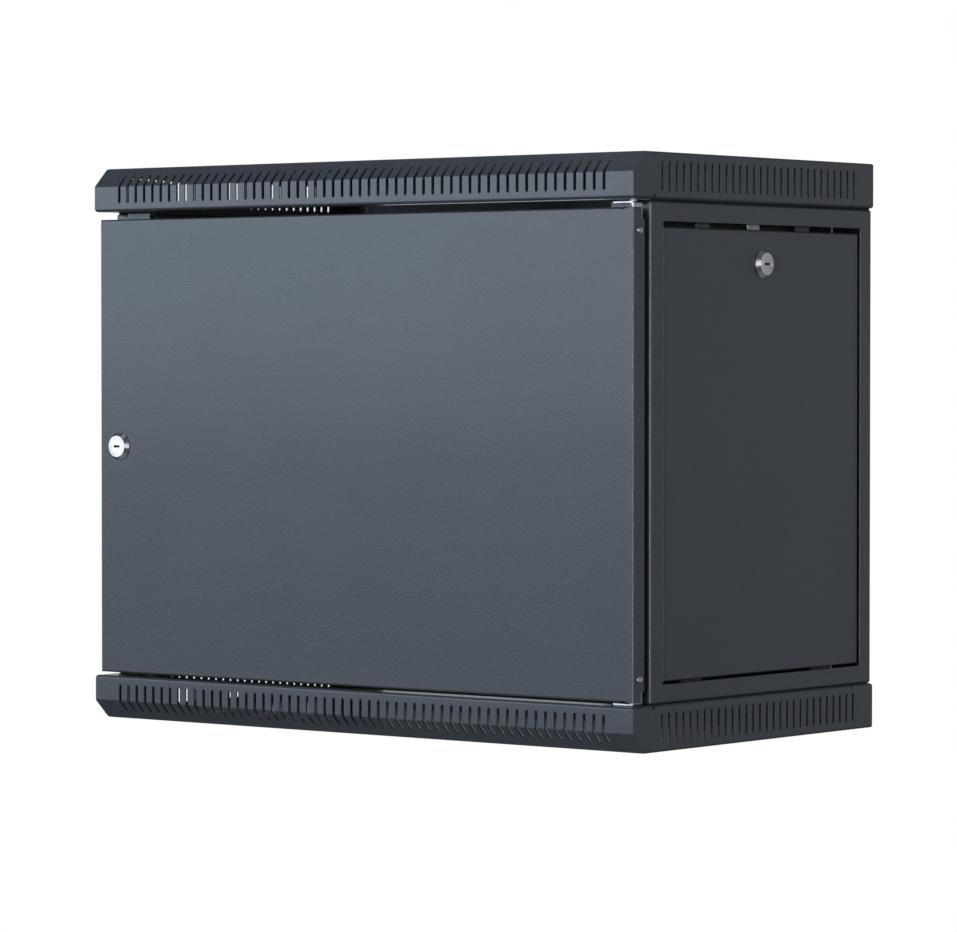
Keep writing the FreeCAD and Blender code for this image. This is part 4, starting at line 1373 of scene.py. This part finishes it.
@dataclass
class GapShadeBead:
    """Thin black bead between the frame's upper flange and the cover's lip: painted shade that darkens the groove
    there.
    """

    hand: Hand
    palette: Palette
    near: float = 295.6 * MM
    far: float = 297.1 * MM
    inset: float = 1.6 * MM
    tip: float = 0.4 * MM
    taper: float = 0.8
    fullness: float = 1.4
    around: int = 16

    def build(self) -> None:
        """Lay the bead: a rounded bar between the flange and the lip."""
        name = self.hand.name.lower()
        low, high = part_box(name + "_side_frame")
        top, lip = high.z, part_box("top_cover")[0].z
        front, rear = low.y + self.inset, high.y - self.inset
        reach = (self.far - self.near) / 2
        turn = turns(self.around) + math.pi / self.around
        flat = np.clip(self.fullness * np.sin(turn), -1, 1)
        bar = np.stack([reach * np.cos(turn), (lip - top) / 2 * flat], axis=1)
        ends = ((self.taper, front), (1.0, front + self.tip), (1.0, rear - self.tip), (self.taper, rear))
        rows = np.stack([lift(bar * scale, y) for scale, y in ends])
        middle = np.array([self.hand.value * (self.near + self.far) / 2, 0.0, (top + lip) / 2])
        bead = turned_surface(name + "_cover_gap_shade", rows, middle, np.array([0.0, 1.0, 0.0]), np.array([-1.0, 0, 0]))
        # Black so that the groove between flange and lip reads dark: painted shade.
        self.palette.dress(bead, "buffer_rubber", "cabinet")


# ---------------------------------------------------------------- carried-over nodes


@dataclass
class CarriedNodes:
    """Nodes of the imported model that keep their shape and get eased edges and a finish."""

    palette: Palette
    ease: float = 0.25 * MM
    merge: float = 0.002 * MM

    def build(self) -> None:
        """Give each node that is still shown the finish of its material slot."""
        slots = {row["node"]: row["material_slot"] for row in frame["record"]["subparts"]}
        for name, node in frame["nodes"].items():
            if node.hide_render:
                continue
            material = self.palette.made[slots[name]]
            node.data.materials.clear()
            node.data.materials.append(material)
            merged = node.modifiers.new("merged corners", "WELD")
            merged.merge_threshold = self.merge
            soften(node, self.ease)
            LOG.info("%s in %s", name, material.name)


# ---------------------------------------------------------------- studio


@dataclass(frozen=True)
class Lamp:
    """Rectangular area lamp that faces a point, with its light kept to a cone."""

    name: str
    spot: tuple
    target: tuple
    size: tuple
    power: float
    colour: tuple
    spread: float = 110.0

    def build(self) -> None:
        """Hang the lamp."""
        data = bpy.data.lights.new(self.name, "AREA")
        data.shape = "RECTANGLE"
        data.size, data.size_y = self.size
        data.energy = self.power
        data.spread = math.radians(self.spread)
        data.color = self.colour
        lamp = bpy.data.objects.new(self.name, data)
        lamp.location = self.spot
        lamp.rotation_euler = (Vector(self.target) - Vector(self.spot)).to_track_quat("-Z", "Y").to_euler()
        bpy.context.scene.collection.objects.link(lamp)


@dataclass
class Studio:
    """Camera, soft lamps, pale floor and white surroundings.

    Each span of the world is where a value starts and ends, and what it becomes there.
    """

    camera_spot: tuple = (2.4798, -3.2793, 0.0826)
    turn: float = 38.626
    tilt: float = -1.460
    lens: float = 169.12
    sensor: float = 36.0
    clip_end: float = 50.0
    horizon: tuple = (0.06, 0.40, 1.0, 0.0)
    gloss: tuple = (0.0, 1.0, 0.26, 0.90)
    rear_right: tuple = (0.10, 0.50, 1.0, 0.40)
    overhead: tuple = (-0.1, 0.3, 0.0, 0.10)
    cool: tuple = (0.88, 0.91, 1.0, 1.0)
    white: tuple = (1.0, 1.0, 1.0, 1.0)
    hung_height: float = 2.5
    floor_half: float = 9.0
    floor_grey: tuple = (0.72, 0.72, 0.72, 1.0)
    floor_fade: tuple = (0.7, 3.0)

    def build(self) -> None:
        """Set up the whole studio."""
        self.world()
        self.camera()
        self.floor()
        for lamp in (
            Lamp("front softbox", (-2.05, -2.95, 0.74), (0.0, -0.35, 0.05), (2.4, 1.5), 10.6, (0.66, 0.83, 1.0)),
            Lamp("right strip", (3.1, -2.0, 0.6), (0.3, -0.2, 0.0), (0.5, 2.2), 3.5, (0.93, 0.92, 1.0)),
            Lamp("edge softbox", (1.15, -4.2, 0.35), (0.2, -0.3, 0.0), (0.7, 1.9), 19.0, (1.0, 1.0, 1.0)),
            Lamp("top softbox", (0.15, -0.2, 1.9), (0.0, -0.18, 0.0), (1.4, 1.0), 2.2, (1.0, 0.97, 1.0), 75.0),
        ):
            lamp.build()
        bpy.context.scene.view_settings.view_transform = "Standard"

    def camera(self) -> None:
        """Camera at the cabinet's right front."""
        data = bpy.data.cameras.new("camera")
        data.lens = self.lens
        data.sensor_width = self.sensor
        data.clip_end = self.clip_end
        camera = bpy.data.objects.new("camera", data)
        camera.location = self.camera_spot
        camera.rotation_euler = (math.radians(90.0 + self.tilt), 0.0, math.radians(self.turn))
        bpy.context.scene.collection.objects.link(camera)
        bpy.context.scene.camera = camera

    def world(self) -> None:
        """White to the camera; else a bright horizon, dimmer to the rear right, that fades up and down."""
        world = bpy.data.worlds.new("studio")
        bpy.context.scene.world = world
        world.use_nodes = True
        wire = Wiring(world.node_tree)
        path = wire.node("ShaderNodeLightPath").outputs
        way = wire.node("ShaderNodeSeparateXYZ")
        wire.link(wire.node("ShaderNodeTexCoord").outputs["Generated"], way.inputs[0])
        level = wire.span(wire.math("ABSOLUTE", way.outputs["Z"]), *self.horizon)
        gain = wire.span(path["Is Glossy Ray"], *self.gloss)
        aside = wire.span(wire.math("MINIMUM", way.outputs["X"], way.outputs["Y"]), *self.rear_right)
        above = wire.span(way.outputs["Z"], *self.overhead)
        lit = wire.math("ADD", wire.math("MULTIPLY", wire.math("MULTIPLY", level, gain), aside), above)
        seen = wire.math("MAXIMUM", path["Is Camera Ray"], path["Is Transmission Ray"])
        wire.fill(world.node_tree.nodes["Background"], {
            "Color": wire.mix(seen, self.cool, self.white), "Strength": wire.math("MAXIMUM", lit, seen),
        })

    def floor(self) -> None:
        """Pale floor at hanging height that turns white to the camera away from the cabinet."""
        z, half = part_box("bottom_cover")[0].z - self.hung_height, self.floor_half
        floor = new_piece("floor", on_plane(box_loop(-half, half, -half, half), 2, z), [[0, 1, 2, 3]])
        material, wire, shader, where = Finish("pale floor", "").begin()
        wire.fill(shader, {"Base Color": self.floor_grey, "Roughness": 0.9, "Specular IOR Level": 0.0})
        flat = wire.node("ShaderNodeVectorMath", operation="MULTIPLY")
        wire.fill(flat, {0: where, 1: (1.0, 1.0, 0.0)})
        reach = wire.node("ShaderNodeVectorMath", operation="LENGTH")
        wire.link(flat.outputs["Vector"], reach.inputs[0])
        far = wire.span(reach.outputs["Value"], *self.floor_fade)
        fade = wire.math("MULTIPLY", far, wire.node("ShaderNodeLightPath").outputs["Is Camera Ray"])
        glow = wire.fill(wire.node("ShaderNodeEmission"), {"Strength": 1.0})
        blend = wire.node("ShaderNodeMixShader")
        wire.fill(blend, {0: fade, 1: shader.outputs["BSDF"], 2: glow.outputs["Emission"]})
        wire.link(blend.outputs["Shader"], material.node_tree.nodes["Material Output"].inputs["Surface"])
        floor.data.materials.append(material)


def build_locks(palette: Palette) -> None:
    """Build the door's lock and one in each side panel.

    Args:
        palette: the finishes.
    """
    low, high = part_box("door_lock_housing")
    middle = (low + high) / 2
    spot = (middle.x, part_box("door_shell")[0].y, middle.z)
    Lock("door_lock", "door", "door_lock_core", spot, (0, -1, 0), (1, 0, 0), palette).build()
    for hand in Hand:
        name = hand.name.lower()
        low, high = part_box(name + "_lock_housing")
        middle = (low + high) / 2
        low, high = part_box(name + "_side_panel")
        spot = (high.x if hand is Hand.RIGHT else low.x, middle.y, middle.z)
        Lock(
            name + "_lock", name + "_panel", name + "_lock_core", spot, (hand.value, 0, 0), (0, 1, 0), palette
        ).build()


def build_screws(palette: Palette) -> None:
    """Build the two screws that hold the hinge leaves to the door's edge.

    Args:
        palette: the finishes.
    """
    low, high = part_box("hinge_leaf_screws")
    edge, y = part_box("door_shell")[1].x, (low.y + high.y) / 2
    spots = tuple((edge, y, z) for z in (low.z + PanScrews.head, high.z - PanScrews.head))
    PanScrews("hinge_leaf_screws", "door", spots, (1, 0, 0), (0, 1, 0), palette).build()


def main() -> None:
    """Build the cabinet's pieces in order, then the studio."""
    logging.basicConfig(level=logging.INFO, format="%(name)s: %(message)s")
    palette = Palette(Effects())
    for level in Level:
        Cover(level, palette).build()
    for hand in Hand:
        SideFrame(hand, palette).build()
        SidePanel(hand, palette).build()
    Door(palette).build()
    build_locks(palette)
    build_screws(palette)
    for level in Level:
        HingeLeaf(level, palette).build()
        for hand in Hand:
            Carrier(level, hand, palette).build()
    for hand in Hand:
        GapShadeBead(hand, palette).build()
    CarriedNodes(palette).build()
    Studio().build()


if __name__ == "__main__":
    main()
